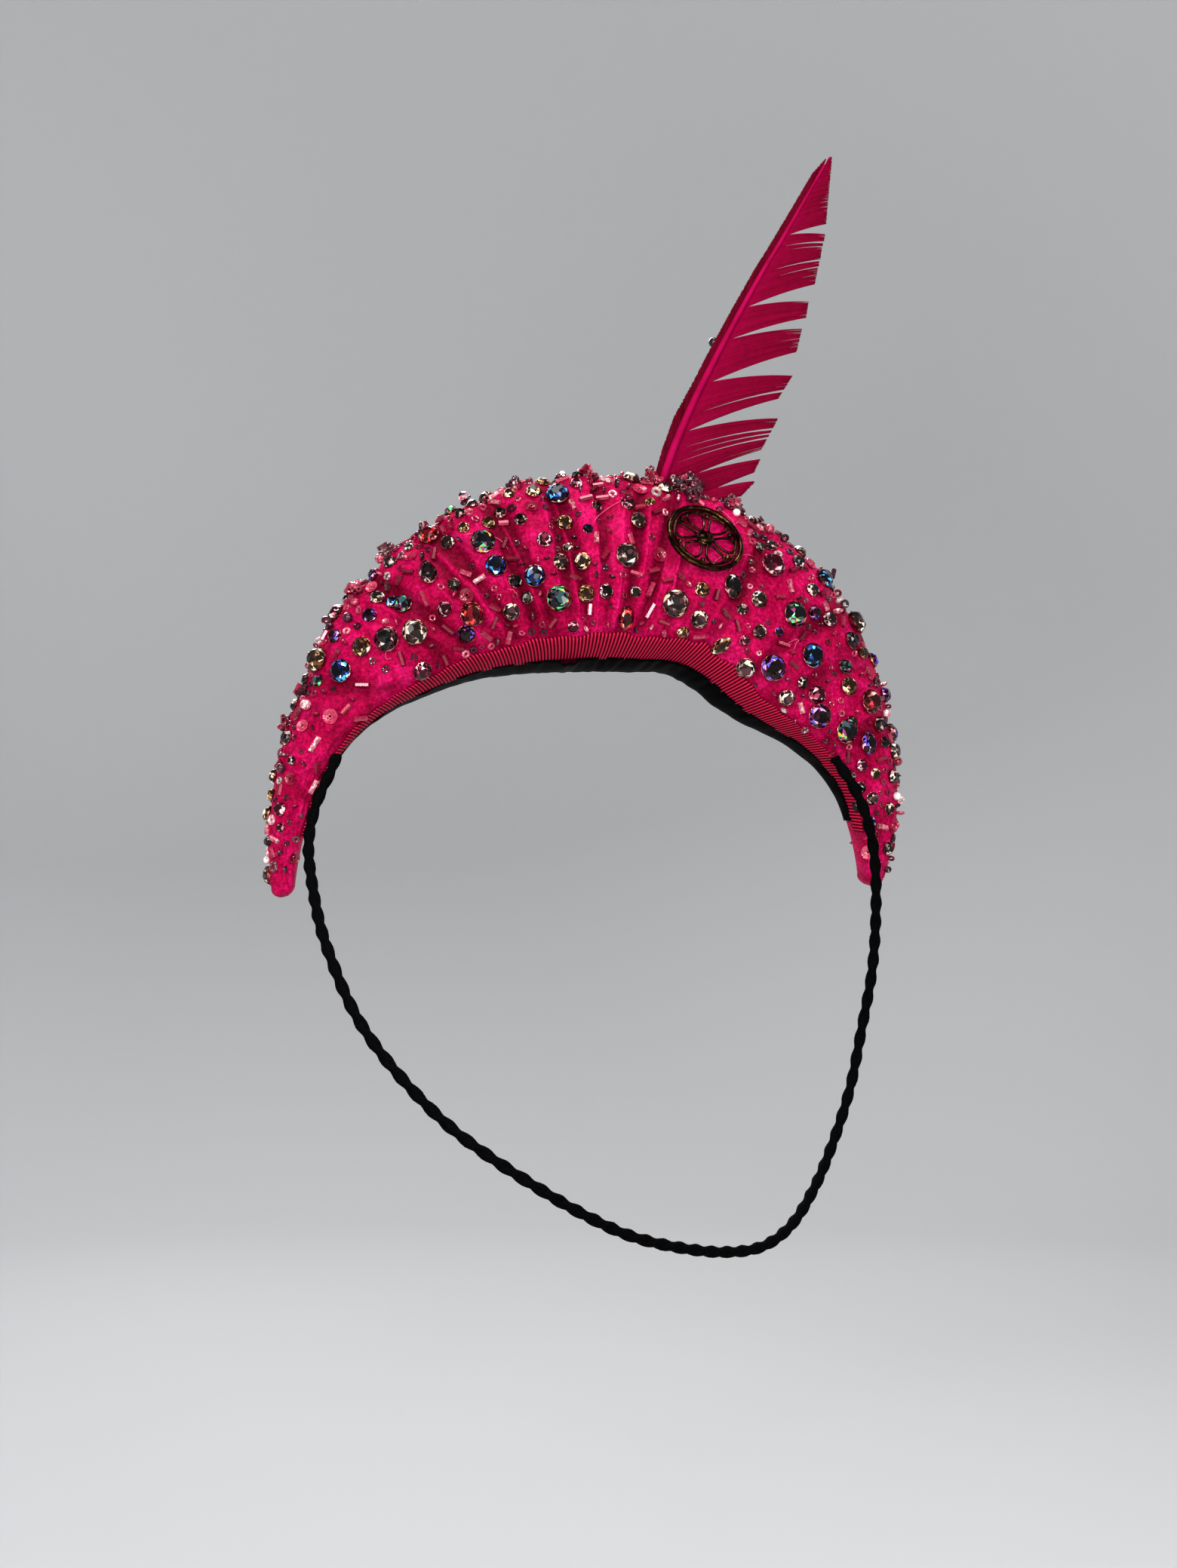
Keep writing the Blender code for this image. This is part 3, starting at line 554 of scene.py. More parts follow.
# The velvet darkened in the gathers as painted shade and paled on the pleats' crests as painted highlight.
fold_shaded_velvet = times(velvet, nap_with_sheen_speckle, ramp(velvet, fold_shade_value, FOLD_SHADE_AND_CREST_HIGHLIGHT))
wire(velvet, fold_shaded_velvet, velvet_shader.inputs["Base Color"])
soft_bump = relief(velvet, velvet_shader, nap, 0.0022, 0.8)
relief(velvet, velvet_shader, pile, 0.00035, 0.9, under=soft_bump)

# How far the rounded ends stand out, in degrees of the pad, and where their rings lie.
END_REACH = 1.65
END_STEPS = (0.35, 0.65, 0.87, 1.0)
turns = np.linspace(SECTIONS[0][0], SECTIONS[-1][0], PAD_RINGS)
shares = np.linspace(0.0, SHARES, PAD_AROUND, endpoint=False)
pad_rings = list(cover(turns[:, None], shares[None, :]))
for end, side in ((0, -1.0), (-1, 1.0)):
    middle = pad_rings[end].mean(axis=0)
    away = side * END_REACH * (pad_surface(turns[end], 6.0) - pad_surface(turns[end] - 1.0, 6.0))
    base = pad_rings[end]
    for t in END_STEPS:
        ring = middle + (base - middle) * math.sqrt(1.0 - 0.92 * t * t) + away * t
        pad_rings.insert(0 if end == 0 else len(pad_rings), ring)
halo_pad = skin("velvet_halo_pad", pad_rings, velvet)
# Painted shade sunk into the gathers and crush creases, and painted highlight on the pleats, as a value for
# the velvet's colour.
fold_shade_marks = np.full((len(pad_rings), PAD_AROUND), 0.5)
body = slice(len(END_STEPS), -len(END_STEPS))
fold_shade_marks[body] = 0.64 - 0.42 * gathers(turns[:, None], shares[None, :])
fold_shade_marks[body] += 0.10 * creases(turns[:, None], shares[None, :], 5, 13.0, 26)
halo_pad.data.attributes.new("fold_shade", "FLOAT", "POINT").data.foreach_set("value", fold_shade_marks.ravel())
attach(halo_pad, "root")
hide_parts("halo_pad")


def tree_of(piece):
    """The piece's faces in mm, for finding places on them."""
    corners = [vertex.co / MM for vertex in piece.data.vertices]
    return BVHTree.FromPolygons(corners, [tuple(face.vertices) for face in piece.data.polygons])


pad_tree = tree_of(halo_pad)


# The grosgrain ribbon
# Crimson ribbed ribbon, stitched over the inner rear edge of the cover. Its ribs run across it,
# one to the millimetre, and it is eased round a kink above the right temple.
RIBBON_ENDS = (-100.0, 100.0)
RIBBON_PITCH = 1.0
RIBBON_STEPS = 1500
RIBBON_SHARES = np.linspace(0.0, 1.08, 10)
RIBBON_LIFT = 0.35
RIBBON_RIB = 0.16


def lengths_along(turns, share):
    """Millimetres along the pad at one share, for each of these turns."""
    points = pad_surface(turns, share)
    return np.concatenate([[0.0], np.cumsum(np.linalg.norm(np.diff(points, axis=0), axis=1))])


ribbon_turns = np.linspace(*RIBBON_ENDS, RIBBON_STEPS)
ribbon_length = lengths_along(ribbon_turns, 0.5)
rib = np.abs(np.sin(np.pi * ribbon_length / RIBBON_PITCH))[:, None]
wave = 0.05 * np.sin(ribbon_length / 3.1) + 0.04 * np.sin(ribbon_length / 1.3 + 1.0)
wave += 0.22 * np.exp(-(((ribbon_turns + 36.5) / 2.2) ** 2))
ribbon_across = RIBBON_SHARES[None, :] + wave[:, None] * (RIBBON_SHARES[None, :] > 0.5)
upper = pad_surface(ribbon_turns[:, None], ribbon_across, RIBBON_LIFT + 0.45 + RIBBON_RIB * rib)
under = pad_surface(ribbon_turns[:, None], ribbon_across[:, ::-1], RIBBON_LIFT)
# Painted shade between the ribs up to a painted highlight on their crests.
CRIMSON_RIB_SHADES = ((0.20, (0.006, 0.0000, 0.0004)), (0.60, (0.10, 0.0003, 0.006)), (0.95, (0.46, 0.010, 0.050)))
grosgrain, grosgrain_shader = finish("crimson_grosgrain", {"Roughness": 0.6, "Specular IOR Level": 0.02})
# The rib's height across the ribbon, which sets the painted rib shade and highlight.
rib_painted_shade = texture(grosgrain, "ShaderNodeAttribute", attribute_name="rib").outputs["Fac"]
ribbon_thread = place_in(grosgrain, texture(grosgrain, "ShaderNodeTexNoise", Scale=1800.0, Detail=3.0))
wire(grosgrain, ramp(grosgrain, rib_painted_shade, CRIMSON_RIB_SHADES), grosgrain_shader.inputs["Base Color"])
relief(grosgrain, grosgrain_shader, ribbon_thread.outputs["Fac"], 0.00012)
ribbon = skin("grosgrain_band", np.concatenate([upper, under], axis=1), grosgrain)
mark = ribbon.data.attributes.new("rib", "FLOAT", "POINT")
mark.data.foreach_set("value", np.broadcast_to(rib, (RIBBON_STEPS, 2 * len(RIBBON_SHARES))).ravel())
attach(ribbon, "root")
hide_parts("grosgrain_ribbon")


# The satin lining
# Black satin under the arch, slip stitched along the ribbon. Its rear edge sags below the ribbon at
# the crown and puckers where the ribbon kinks.
LINING_ENDS = (-98.0, 98.0)
LINING_STEPS = 700
LINING_SHARES = np.linspace(10.35, 12.12, 22)
lining_turns = np.linspace(*LINING_ENDS, LINING_STEPS)[:, None]
sag = 1.7 * np.exp(-(((lining_turns - 13.0) / 7.0) ** 2))
sag = sag + 0.5 * np.exp(-(((lining_turns + 30.0) / 14.0) ** 2))
hang = np.clip((LINING_SHARES[None, :] - 11.3) / 0.7, 0.0, 1.0)
ripple = 0.28 * np.sin(lining_turns / 1.9) + 0.22 * np.sin(lining_turns / 0.83 + 1.3)
lining_creases = 0.12 * creases(lining_turns, LINING_SHARES[None, :], 9, 9.0, 20)
lining_lift = np.maximum(0.45 + hang * (sag + ripple * 0.8 + 0.3) + lining_creases, 0.35)
lining_outer = pad_surface(lining_turns, LINING_SHARES[None, :], lining_lift + 0.3)
lining_inner = pad_surface(lining_turns, LINING_SHARES[None, ::-1], lining_lift[:, ::-1])
SATIN_BLACK = ((0.3, (0.0005, 0.0004, 0.0006)), (0.75, (0.0020, 0.0016, 0.0022)))
black_satin, satin_shader = finish("black_satin", {"Roughness": 0.4, "Specular IOR Level": 0.003})
satin_weave = noise_mottled_colours(black_satin, satin_shader, 900.0, SATIN_BLACK, Detail=2.0)
relief(black_satin, satin_shader, satin_weave, 0.00015, 0.5)
lining = skin("satin_underlay", np.concatenate([lining_outer, lining_inner], axis=1), black_satin)
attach(lining, "root")
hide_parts("satin_lining")

# The gilt badge
# A cast gilt ring with a pierced six-petal rosette, sewn to the ridge above the right temple.
# Round wire bars, beaded at the hub; the gilding painted dark as a painted reflection, with painted glints.
BADGE_WIRE = 0.78
BADGE_PETALS = 6
BADGE_BOSS = 2.3
# Each ring: its radius, the radius of its wire, the points along it and round it.
BADGE_RINGS = (
    (BADGE_RADIUS - BADGE_WIRE, BADGE_WIRE, 72, 12),
    (BADGE_RADIUS - 2.3, 0.34, 72, 8),
    (BADGE_BOSS, 0.42, 24, 8),
)
PETAL_MIDDLE = 6.05
PETAL_REACH = 3.45
PETAL_WIRE = 0.40
STUD_RADIUS = 8.6  # where the small domes stand between the petals
badge_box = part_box("badge")
badge_middle = (Vector(badge_box[0]) + Vector(badge_box[1])) / 2 / MM
# Gilt painted nearly black as a painted dark reflection, with painted glints of bright gold in the noise's
# high patches.
gilt, gilt_shader = finish("gilt_painted_dark_with_glints", {"Metallic": 1.0, "Roughness": 0.17})
GILT_DARK_AND_GLINTS = ((0.40, (0.012, 0.005, 0.003)), (0.58, (0.055, 0.024, 0.009)), (0.80, (0.46, 0.27, 0.09)))
gilt_glint_mottle = noise_mottled_colours(gilt, gilt_shader, 420.0, GILT_DARK_AND_GLINTS, Detail=4.0, Roughness=0.6)
relief(gilt, gilt_shader, gilt_glint_mottle, 0.0002, 0.5)


def joined(name, parts, material, smooth=True):
    """One piece from several (points in mm, faces) parts, with an optional shade for each."""
    points, faces, shades = [], [], []
    base = 0
    for part in parts:
        points.append(np.asarray(part[0], float))
        faces += [tuple(base + corner for corner in face) for face in part[1]]
        shades.append(np.broadcast_to(part[2] if len(part) > 2 else 0.5, len(part[0])))
        base += len(part[0])
    data = bpy.data.meshes.new(name)
    data.from_pydata((np.concatenate(points) * MM).tolist(), [], faces)
    obj = new_piece(name, data, material, smooth)
    data.attributes.new("shade", "FLOAT", "POINT").data.foreach_set("value", np.concatenate(shades))
    return obj


def tube(path, radius, around, closed=False):
    """Points and faces of a round wire of this radius, or of one radius a point, along a path."""
    path = np.asarray(path, float)
    angle = np.linspace(0.0, 2 * np.pi, around, endpoint=False)
    radius = np.broadcast_to(radius, len(path))
    if closed:
        path = np.concatenate([path, path[:2]])
        radius = np.concatenate([radius, radius[:2]])
    section = np.stack([np.cos(angle), np.sin(angle)], axis=-1)
    rings = sweep(path, radius[:, None, None] * section)
    if closed:
        rings = rings[1:-1]
    return rings.reshape(-1, 3), faces_over(len(rings), around, looped=closed)


def dome(centre, up, radius, height, around, rings):
    """Points and faces of a half ball, its foot at centre."""
    up = Vector(up).normalized()
    aside = up.orthogonal().normalized()
    other = up.cross(aside)
    points = []
    for ring in range(rings):
        lift = math.pi / 2 * ring / rings
        for side in range(around):
            turn = 2 * math.pi * side / around
            out = radius * math.cos(lift) * (math.cos(turn) * aside + math.sin(turn) * other)
            points.append(Vector(centre) + out + height * math.sin(lift) * up)
    points.append(Vector(centre) + height * up)
    faces = faces_over(rings, around, capped=False)
    last = (rings - 1) * around
    faces += [(last + side, last + (side + 1) % around, len(points) - 1) for side in range(around)]
    faces.append(tuple(range(around))[::-1])
    return [tuple(point) for point in points], faces


def badge_loop(outline):
    """Points of the badge's own plane, given along the arch and across it."""
    return [tuple(badge_middle + x * badge_along + y * badge_across) for x, y, *_ in outline]


badge_parts = [
    tube(badge_loop(ring_of(radius, count)), thick, sides, closed=True)
    for radius, thick, count, sides in BADGE_RINGS
]
hub = badge_middle - 0.3 * badge_outward
badge_parts.append(dome(hub, badge_outward, BADGE_BOSS - 0.2, 1.1, 20, 6))
for petal in range(BADGE_PETALS):
    middle = 2 * math.pi * petal / BADGE_PETALS
    outline = []
    for x, y, _ in ring_of(1.0, 36):
        out = PETAL_MIDDLE + PETAL_REACH * x
        petal_place = Vector((out, (0.34 * out + 0.35) * y))
        petal_place.rotate(Matrix.Rotation(middle, 2))
        outline.append(petal_place)
    badge_parts.append(tube(badge_loop(outline), PETAL_WIRE, 8, closed=True))
    between = middle + math.pi / BADGE_PETALS
    spot = badge_middle + STUD_RADIUS * (math.cos(between) * badge_along + math.sin(between) * badge_across)
    badge_parts.append(dome(spot - 0.35 * badge_outward, badge_outward, 0.85, 1.0, 10, 4))
badge = joined("gilt_rosette_badge", badge_parts, gilt)
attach(badge, "root")
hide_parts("badge")

# The main cut stones
# Foil-backed glass stones, the large ones 7 mm, cut with a flat table and a ring of small facets.
# Each is stitched through the cup that holds it.
STONE_GIRDLE = 0.34  # height of the girdle over the stone's own height
STONE_STAR = 0.80  # reach and height of the points between the table and the girdle
STONE_STAR_RISE = 0.76
STONE_TABLE = 0.57
# The table's painted dark reflection.
TABLE_PAINTED_DARK = 0.10
CUP_SIDES = 24
CUP_PRONGS = 4
facet_draw = np.random.default_rng(3)
UNCUPPED = "stone_22"
CUTS = {"stone_11": "pear", "stone_39": "pear", "stone_31": "navette", "stone_22": "oval", "stone_25": "oval"}
# Each colour's painted reflections: dark, middle, light and two painted flashes, for what its foil throws
# back.
STONE_COLOURS_AND_FLASHES = {
    "navy": (
        (0.0006, 0.001, 0.004), (0.004, 0.008, 0.06), (0.010, 0.06, 0.36),
        (0.08, 0.50, 1.0), (0.85, 0.95, 1.0),
    ),
    "crystal": (
        (0.010, 0.006, 0.005), (0.07, 0.022, 0.028), (0.30, 0.20, 0.16),
        (0.95, 0.70, 0.48), (1.0, 1.0, 1.0),
    ),
    "rainbow": (
        (0.003, 0.003, 0.004), (0.03, 0.07, 0.08), (0.36, 0.04, 0.20),
        (0.10, 0.80, 0.20), (1.0, 0.55, 0.08),
    ),
    "gold": (
        (0.014, 0.005, 0.002), (0.12, 0.045, 0.014), (0.42, 0.18, 0.06),
        (1.0, 0.70, 0.34), (1.0, 1.0, 0.92),
    ),
    "plum": (
        (0.003, 0.0004, 0.001), (0.026, 0.001, 0.012), (0.14, 0.004, 0.07),
        (0.14, 0.10, 0.80), (1.0, 0.50, 0.70),
    ),
    "rose": (
        (0.020, 0.001, 0.004), (0.15, 0.006, 0.028), (0.48, 0.06, 0.14),
        (0.95, 0.45, 0.50), (1.0, 1.0, 1.0),
    ),
    "siam": (
        (0.022, 0.0003, 0.001), (0.13, 0.0008, 0.005), (0.36, 0.004, 0.015),
        (0.90, 0.06, 0.05), (1.0, 0.60, 0.45),
    ),
    "smoke": (
        (0.0015, 0.001, 0.001), (0.016, 0.004, 0.006), (0.09, 0.020, 0.030),
        (0.60, 0.36, 0.32), (1.0, 1.0, 1.0),
    ),
}


def weighted(material, source, weight, added=None):
    """A value times its weight, with another one added if it is given."""
    made = texture(material, "ShaderNodeMath", operation="MULTIPLY_ADD")
    made.inputs[1].default_value = weight
    made.inputs[2].default_value = 0.0
    wire(material, source, made.inputs[0])
    if added is not None:
        wire(material, added, made.inputs[2])
    return made.outputs[0]


def own_shade(material):
    """The shade that each bead or barb carries as its own tone, and each facet as its painted reflection."""
    return texture(material, "ShaderNodeAttribute", attribute_name="shade").outputs["Fac"]


def glass_finish(name, colours):
    """Foil-backed cut glass: each facet has its own painted reflection, from dark to a painted flash, broken
    into a few cells of other painted reflections, under a clear polished face."""
    material, shader = finish(name, {"Roughness": 0.10, "Metallic": 0.30, "Specular IOR Level": 0.35})
    cells = place_in(material, texture(material, "ShaderNodeTexVoronoi", Scale=620.0))
    split = texture(material, "ShaderNodeSeparateColor")
    wire(material, cells.outputs["Color"], split.inputs["Color"])
    # Each facet's painted reflection: its own value plus a painted reflection cell.
    depth = weighted(material, own_shade(material), 0.62, weighted(material, split.outputs["Red"], 0.5))
    dark, middle, light, flash, white = colours
    shades = (dark, middle, dark, light, dark, flash, white)
    stops = tuple(zip((0.0, 0.36, 0.44, 0.62, 0.70, 0.80, 0.93), shades))
    wire(material, ramp(material, depth, stops, steps=True), shader.inputs["Base Color"])
    tilt = texture(material, "ShaderNodeVectorMath", operation="SUBTRACT")
    wire(material, cells.outputs["Color"], tilt.inputs[0])
    tilt.inputs[1].default_value = (0.5, 0.5, 0.5)
    weak = texture(material, "ShaderNodeVectorMath", operation="SCALE")
    weak.inputs["Scale"].default_value = 0.35
    wire(material, tilt.outputs[0], weak.inputs[0])
    total = texture(material, "ShaderNodeVectorMath", operation="ADD")
    wire(material, texture(material, "ShaderNodeNewGeometry").outputs["Normal"], total.inputs[0])
    wire(material, weak.outputs[0], total.inputs[1])
    unit = texture(material, "ShaderNodeVectorMath", operation="NORMALIZE")
    wire(material, total.outputs[0], unit.inputs[0])
    wire(material, unit.outputs[0], shader.inputs["Normal"])
    return material


GLASS = {colour: glass_finish(f"{colour}_cut_glass", shades) for colour, shades in STONE_COLOURS_AND_FLASHES.items()}


def cut_outline(cut, turn, reach):
    """A place on a stone's outline at a share of its reach, over its width and length."""
    x, y = math.cos(turn), math.sin(turn)
    if cut == "pear":
        x *= 1.0 - 0.45 * max(0.0, y)
    if cut == "navette":
        x *= 1.0 - 0.35 * y * y
    return x * reach / 2, y * reach / 2


def cut_stone(cut, width, length, height, seat):
    """Points, faces and shades of a faceted stone on its seat. Every facet has its own points, so that it
    keeps its own painted reflection: the table painted dark, the small facets round it painted from dark to
    flashing."""
    eighth = math.pi / 4
    rings = (
        [(0.86, 0.0, step / 2) for step in range(16)],
        [(1.0, STONE_GIRDLE - 0.05, step / 2) for step in range(16)],
        [(1.0, STONE_GIRDLE, step / 2) for step in range(16)],
        [(STONE_STAR, STONE_STAR_RISE, step + 0.5) for step in range(8)],
        [(STONE_TABLE, 1.0, step) for step in range(8)],
    )
    corners = []
    for ring in rings:
        for reach, rise, step in ring:
            x, y = cut_outline(cut, (step + 2) * eighth, reach)
            corners.append(tuple(seat @ Vector((x * width, y * length, rise * height))))
    foot, low, high, star, table = 0, 16, 32, 48, 56
    facets = [tuple(range(15, -1, -1))]
    for side in range(16):
        after = (side + 1) % 16
        facets.append((foot + side, foot + after, low + after, low + side))
        facets.append((low + side, low + after, high + after, high + side))
    for step in range(8):
        after = (step + 1) % 8
        corner = high + 2 * step
        middle, end = corner + 1, high + (2 * step + 2) % 16
        facets.append((table + step, star + step, table + after))
        facets.append((corner, middle, star + step))
        facets.append((middle, end, star + step))
        facets.append((star + step, end, star + after))
        facets.append((star + step, star + after, table + after))
    facets.append(tuple(table + step for step in range(8)))
    points, faces, shades = [], [], []
    for number, facet in enumerate(facets):
        shade = TABLE_PAINTED_DARK if number == len(facets) - 1 else facet_draw.uniform(0.0, 1.0)
        faces.append(tuple(range(len(points), len(points) + len(facet))))
        points += [corners[corner] for corner in facet]
        shades += [shade] * len(facet)
    return points, faces, shades


def cup(cut, width, length, height, seat):
    """Points and faces of a thin gilt cup round a stone's girdle, with small prongs over it."""

    def corner(turn, reach, rise):
        x, y = cut_outline(cut, turn, reach)
        return tuple(seat @ Vector((x * width, y * length, rise * height)))

    profile = ((0.80, -0.05), (1.01, 0.16), (1.05, STONE_GIRDLE + 0.02), (1.00, STONE_GIRDLE + 0.05))
    points, faces = [], faces_over(len(profile), CUP_SIDES, capped=False)
    for reach, rise in profile:
        for side in range(CUP_SIDES):
            notch = 0.05 * (side % 2) if rise > STONE_GIRDLE else 0.0
            points.append(corner(2 * math.pi * side / CUP_SIDES, reach, rise - notch))
    for prong in range(CUP_PRONGS):
        turn = 2 * math.pi * (prong + 0.5) / CUP_PRONGS
        base = len(points)
        for reach, rise, half in ((1.06, 0.22, 0.10), (1.06, 0.46, 0.08), (0.92, 0.58, 0.04)):
            for edge in (turn - half, turn + half):
                points += [corner(edge, reach, rise), corner(edge, reach - 0.09, rise - 0.05)]
        for ring in (base, base + 4):
            for face in ((0, 2, 6, 4), (1, 5, 7, 3), (0, 4, 5, 1), (2, 3, 7, 6)):
                faces.append(tuple(ring + step for step in face))
        faces.append((base + 8, base + 10, base + 11, base + 9))
    return points, faces


def solid_seat(node, cut):
    """A stone's frame on the pad, its width, length and height, read from its own solid in mm."""
    data = frame["nodes"][node].data
    count = len(data.polygons)
    normals, centres, areas = np.empty(3 * count), np.empty(3 * count), np.empty(count)
    data.polygons.foreach_get("normal", normals)
    data.polygons.foreach_get("center", centres)
    data.polygons.foreach_get("area", areas)
    normals, centres = normals.reshape(-1, 3), centres.reshape(-1, 3)
    alike = normals @ normals.T > 0.9995
    foot = alike[(alike @ areas).argmax()]
    up = -(normals[foot] * areas[foot, None]).sum(axis=0)
    up = Vector(up).normalized()
    centre = Vector((centres[foot] * areas[foot, None]).sum(axis=0) / areas[foot].sum()) / MM
    points = np.array([vertex.co[:] for vertex in data.vertices]) / MM - np.array(centre)
    long = VIEW_UP - VIEW_UP.dot(up) * up
    if cut != "round":
        flat = points - np.outer(points @ np.array(up), np.array(up))
        values, vectors = np.linalg.eigh(flat.T @ flat)
        long = Vector(vectors[:, 2])
        if cut == "pear":
            reach = flat @ np.array(long)
            wide = np.linalg.norm(flat - np.outer(reach, np.array(long)), axis=1)
            if wide[reach > 0].max() > wide[reach < 0].max():
                long.negate()
    long.normalize()
    side = long.cross(up)
    seat = Matrix((side, long, up)).transposed().to_4x4()
    seat.translation = centre
    extents = [np.ptp(points @ np.array(axis)) for axis in (side, long, up)]
    return seat, *extents


slots = {row["node"]: row["material_slot"] for row in frame["record"]["subparts"]}
main_stones = sorted(node for node in slots if node.startswith("stone_"))
seats = {node: solid_seat(node, CUTS.get(node, "round")) for node in main_stones}
taken = np.zeros((4000, 4))
taken[:, 3] = -1000.0
free_rows = iter(range(len(taken)))


def claim(place, radius):
    """Note a place of the cover as used, in mm."""
    taken[next(free_rows)] = (*place, radius)


for seat, width, length, _ in seats.values():
    claim(seat.translation, max(width, length) / 2)
cups = []
for colour, glass in GLASS.items():
    nodes = [node for node in main_stones if slots[node] == colour]
    parts = []
    for node in nodes:
        seat, width, length, height = seats[node]
        cut = CUTS.get(node, "round")
        parts.append(cut_stone(cut, width, length, height, seat))
        if node != UNCUPPED:
            cups.append(cup(cut, width, length, height, seat))
    if parts:
        stones = joined(f"{colour}_stones", parts, glass, smooth=False)
        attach(stones, "root")
        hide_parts(*nodes)

# The small set stones
# Rhinestones of 3 to 5 mm in pronged gilt cups, sewn between the main ones. Those on the back are
# placed one by one as they lie on the real cover: pixels across and down in the photograph's chart,
# the size in mm, and the colour.
CHART_MIDDLE = (785.0, 1040.0)
CHART_SCALE = 0.22
SMALL_STONES = (
    (748, 695, 4.6, "gold"),
    (690, 689, 3.7, "smoke"),
    (721, 717, 4.4, "rose"),
    (681, 772, 4.2, "smoke"),
    (490, 817, 4.2, "plum"),
    (594, 721, 4.2, "crystal"),
    (589, 808, 4.2, "rose"),
    (618, 841, 5.0, "plum"),
    (625, 671, 3.8, "smoke"),
    (1079, 813, 4.2, "plum"),
    (1057, 747, 4.4, "smoke"),
    (1098, 823, 4.6, "smoke"),
    (1006, 838, 4.2, "crystal"),
    (931, 782, 4.4, "gold"),
    (802, 785, 4.2, "smoke"),
    (832, 668, 4.4, "rose"),
    (861, 665, 3.0, "gold"),
    (1082, 922, 5.2, "rose"),
    (1042, 925, 4.8, "crystal"),
    (1164, 961, 4.6, "smoke"),
    (1172, 922, 4.6, "plum"),
    (1157, 875, 4.8, "plum"),
    (1141, 1015, 3.6, "rose"),
    (1127, 1029, 3.6, "smoke"),
    (1160, 1026, 3.2, "gold"),
    (1140, 1045, 3.6, "smoke"),
    (1156, 1059, 3.8, "crystal"),
    (1137, 1069, 3.4, "smoke"),
    (1153, 1091, 3.8, "plum"),
    (1175, 1125, 3.8, "crystal"),
    (361, 1028, 4.0, "crystal"),
    (372, 1073, 3.8, "rose"),
    (382, 979, 4.2, "smoke"),
    (1120, 885, 4.4, "rainbow"),
    (905, 838, 3.6, "gold"),
    (1063, 905, 3.6, "smoke"),
    (1128, 958, 3.8, "smoke"),
    (987, 850, 3.2, "rose"),
    (520, 800, 3.8, "navy"),
    (445, 845, 4.2, "plum"),
)


def chart_ray(across, down):
    """From the chart's eye through a place that the photograph shows."""
    eye = ARCH_CENTRE + VIEW_DISTANCE * VIEW_BACK
    left = (CHART_MIDDLE[0] - across) * CHART_SCALE
    up = (CHART_MIDDLE[1] - down) * CHART_SCALE
    return eye, (ARCH_CENTRE + left * VIEW_LEFT + up * VIEW_UP - eye).normalized()


def on_cover(eye, direction):
    """Where a ray meets the cover, or passes nearest to it, and the way out of the cover there."""
    place, outward, _, _ = pad_tree.ray_cast(eye, direction)
    if place is None:
        middle = (ARCH_CENTRE - eye).dot(direction)
        passing = [eye + (middle + step) * direction for step in range(-30, 31)]
        nearest = [pad_tree.find_nearest(point) for point in passing]
        place, outward, _, _ = min(nearest, key=lambda near: near[3])
    return place, outward


def seat_on(place, outward, radius, spin=0.0, sunk=0.1):
    """A frame on the cover, square to it over this radius and bedded in its pile."""
    for _ in range(3):
        aside = outward.orthogonal().normalized()
        other = outward.cross(aside)
        total = Vector()
        heights = []
        for side in range(8):
            turn = math.pi / 4 * side
            start = place + radius * (math.cos(turn) * aside + math.sin(turn) * other) + 4.0 * outward
            hit, facing, _, _ = pad_tree.ray_cast(start, -outward)
            if hit is not None:
                total += facing
                heights.append((hit - place).dot(outward))
        if total.length > 0:
            outward = (total.normalized() + outward).normalized()
    up = VIEW_UP - VIEW_UP.dot(outward) * outward
    if up.length < 0.05:
        up = outward.orthogonal()
    up.normalize()
    up.rotate(Matrix.Rotation(spin, 3, outward))
    seat = Matrix((up.cross(outward), up, outward)).transposed().to_4x4()
    lift = sum(heights) / max(1, len(heights)) - sunk
    seat.translation = place + lift * outward
    return seat


small_parts = {colour: [] for colour in GLASS}
draw = np.random.default_rng(21)


def set_stone(seat, size, colour):
    height = 0.50 * size
    small_parts[colour].append(cut_stone("round", size, size, height, seat))
    cups.append(cup("round", size, size, height, seat))


for across, down, size, colour in SMALL_STONES:
    place, outward = on_cover(*chart_ray(across, down))
    seat = seat_on(place, outward, size / 2, draw.uniform(0.0, 1.0))
    claim(seat.translation, size / 2)
    set_stone(seat, size, colour)

# The sewn beads
# Rocailles, hexagon-cut bugles, faceted round beads and cupped sequins, each sewn on by hand
# between the stones, over the back, the ridge and the front. They are glass, lined with silver or
# with pink; the lower left limb is left almost bare.


def bead_glass(name, stops, metallic=0.35, roughness=0.12):
    """Lined glass: each bead takes its own shade, cloudy inside and polished outside."""
    polish = {"Roughness": roughness, "Metallic": metallic, "Coat Weight": 0.4, "Coat Roughness": 0.03}
    material, shader = finish(name, polish)
    cloud = place_in(material, texture(material, "ShaderNodeTexNoise", Scale=1300.0, Detail=1.0))
    total = weighted(material, cloud.outputs["Fac"], 0.5, own_shade(material))
    wire(material, ramp(material, total, stops), shader.inputs["Base Color"])
    return material


SILVER_PINK = (
    (0.20, (0.06, 0.001, 0.008)),
    (0.60, (0.24, 0.004, 0.026)),
    (0.82, (0.40, 0.030, 0.075)),
    (0.96, (0.70, 0.280, 0.320)),
    (1.00, (0.95, 0.820, 0.800)),
)
DARK_GLASS = (
    (0.20, (0.008, 0.002, 0.004)),
    (0.60, (0.050, 0.006, 0.014)),
    (0.90, (0.14, 0.040, 0.050)),
    (1.00, (0.50, 0.42, 0.38)),
)
ROSE_FILM = ((0.25, (0.16, 0.001, 0.014)), (0.70, (0.32, 0.004, 0.040)), (1.00, (0.55, 0.06, 0.12)))
bugle_glass = bead_glass("silver_lined_bugle_glass", SILVER_PINK, metallic=0.4, roughness=0.2)
rocaille_glass = bead_glass("pink_lined_rocaille_glass", SILVER_PINK)
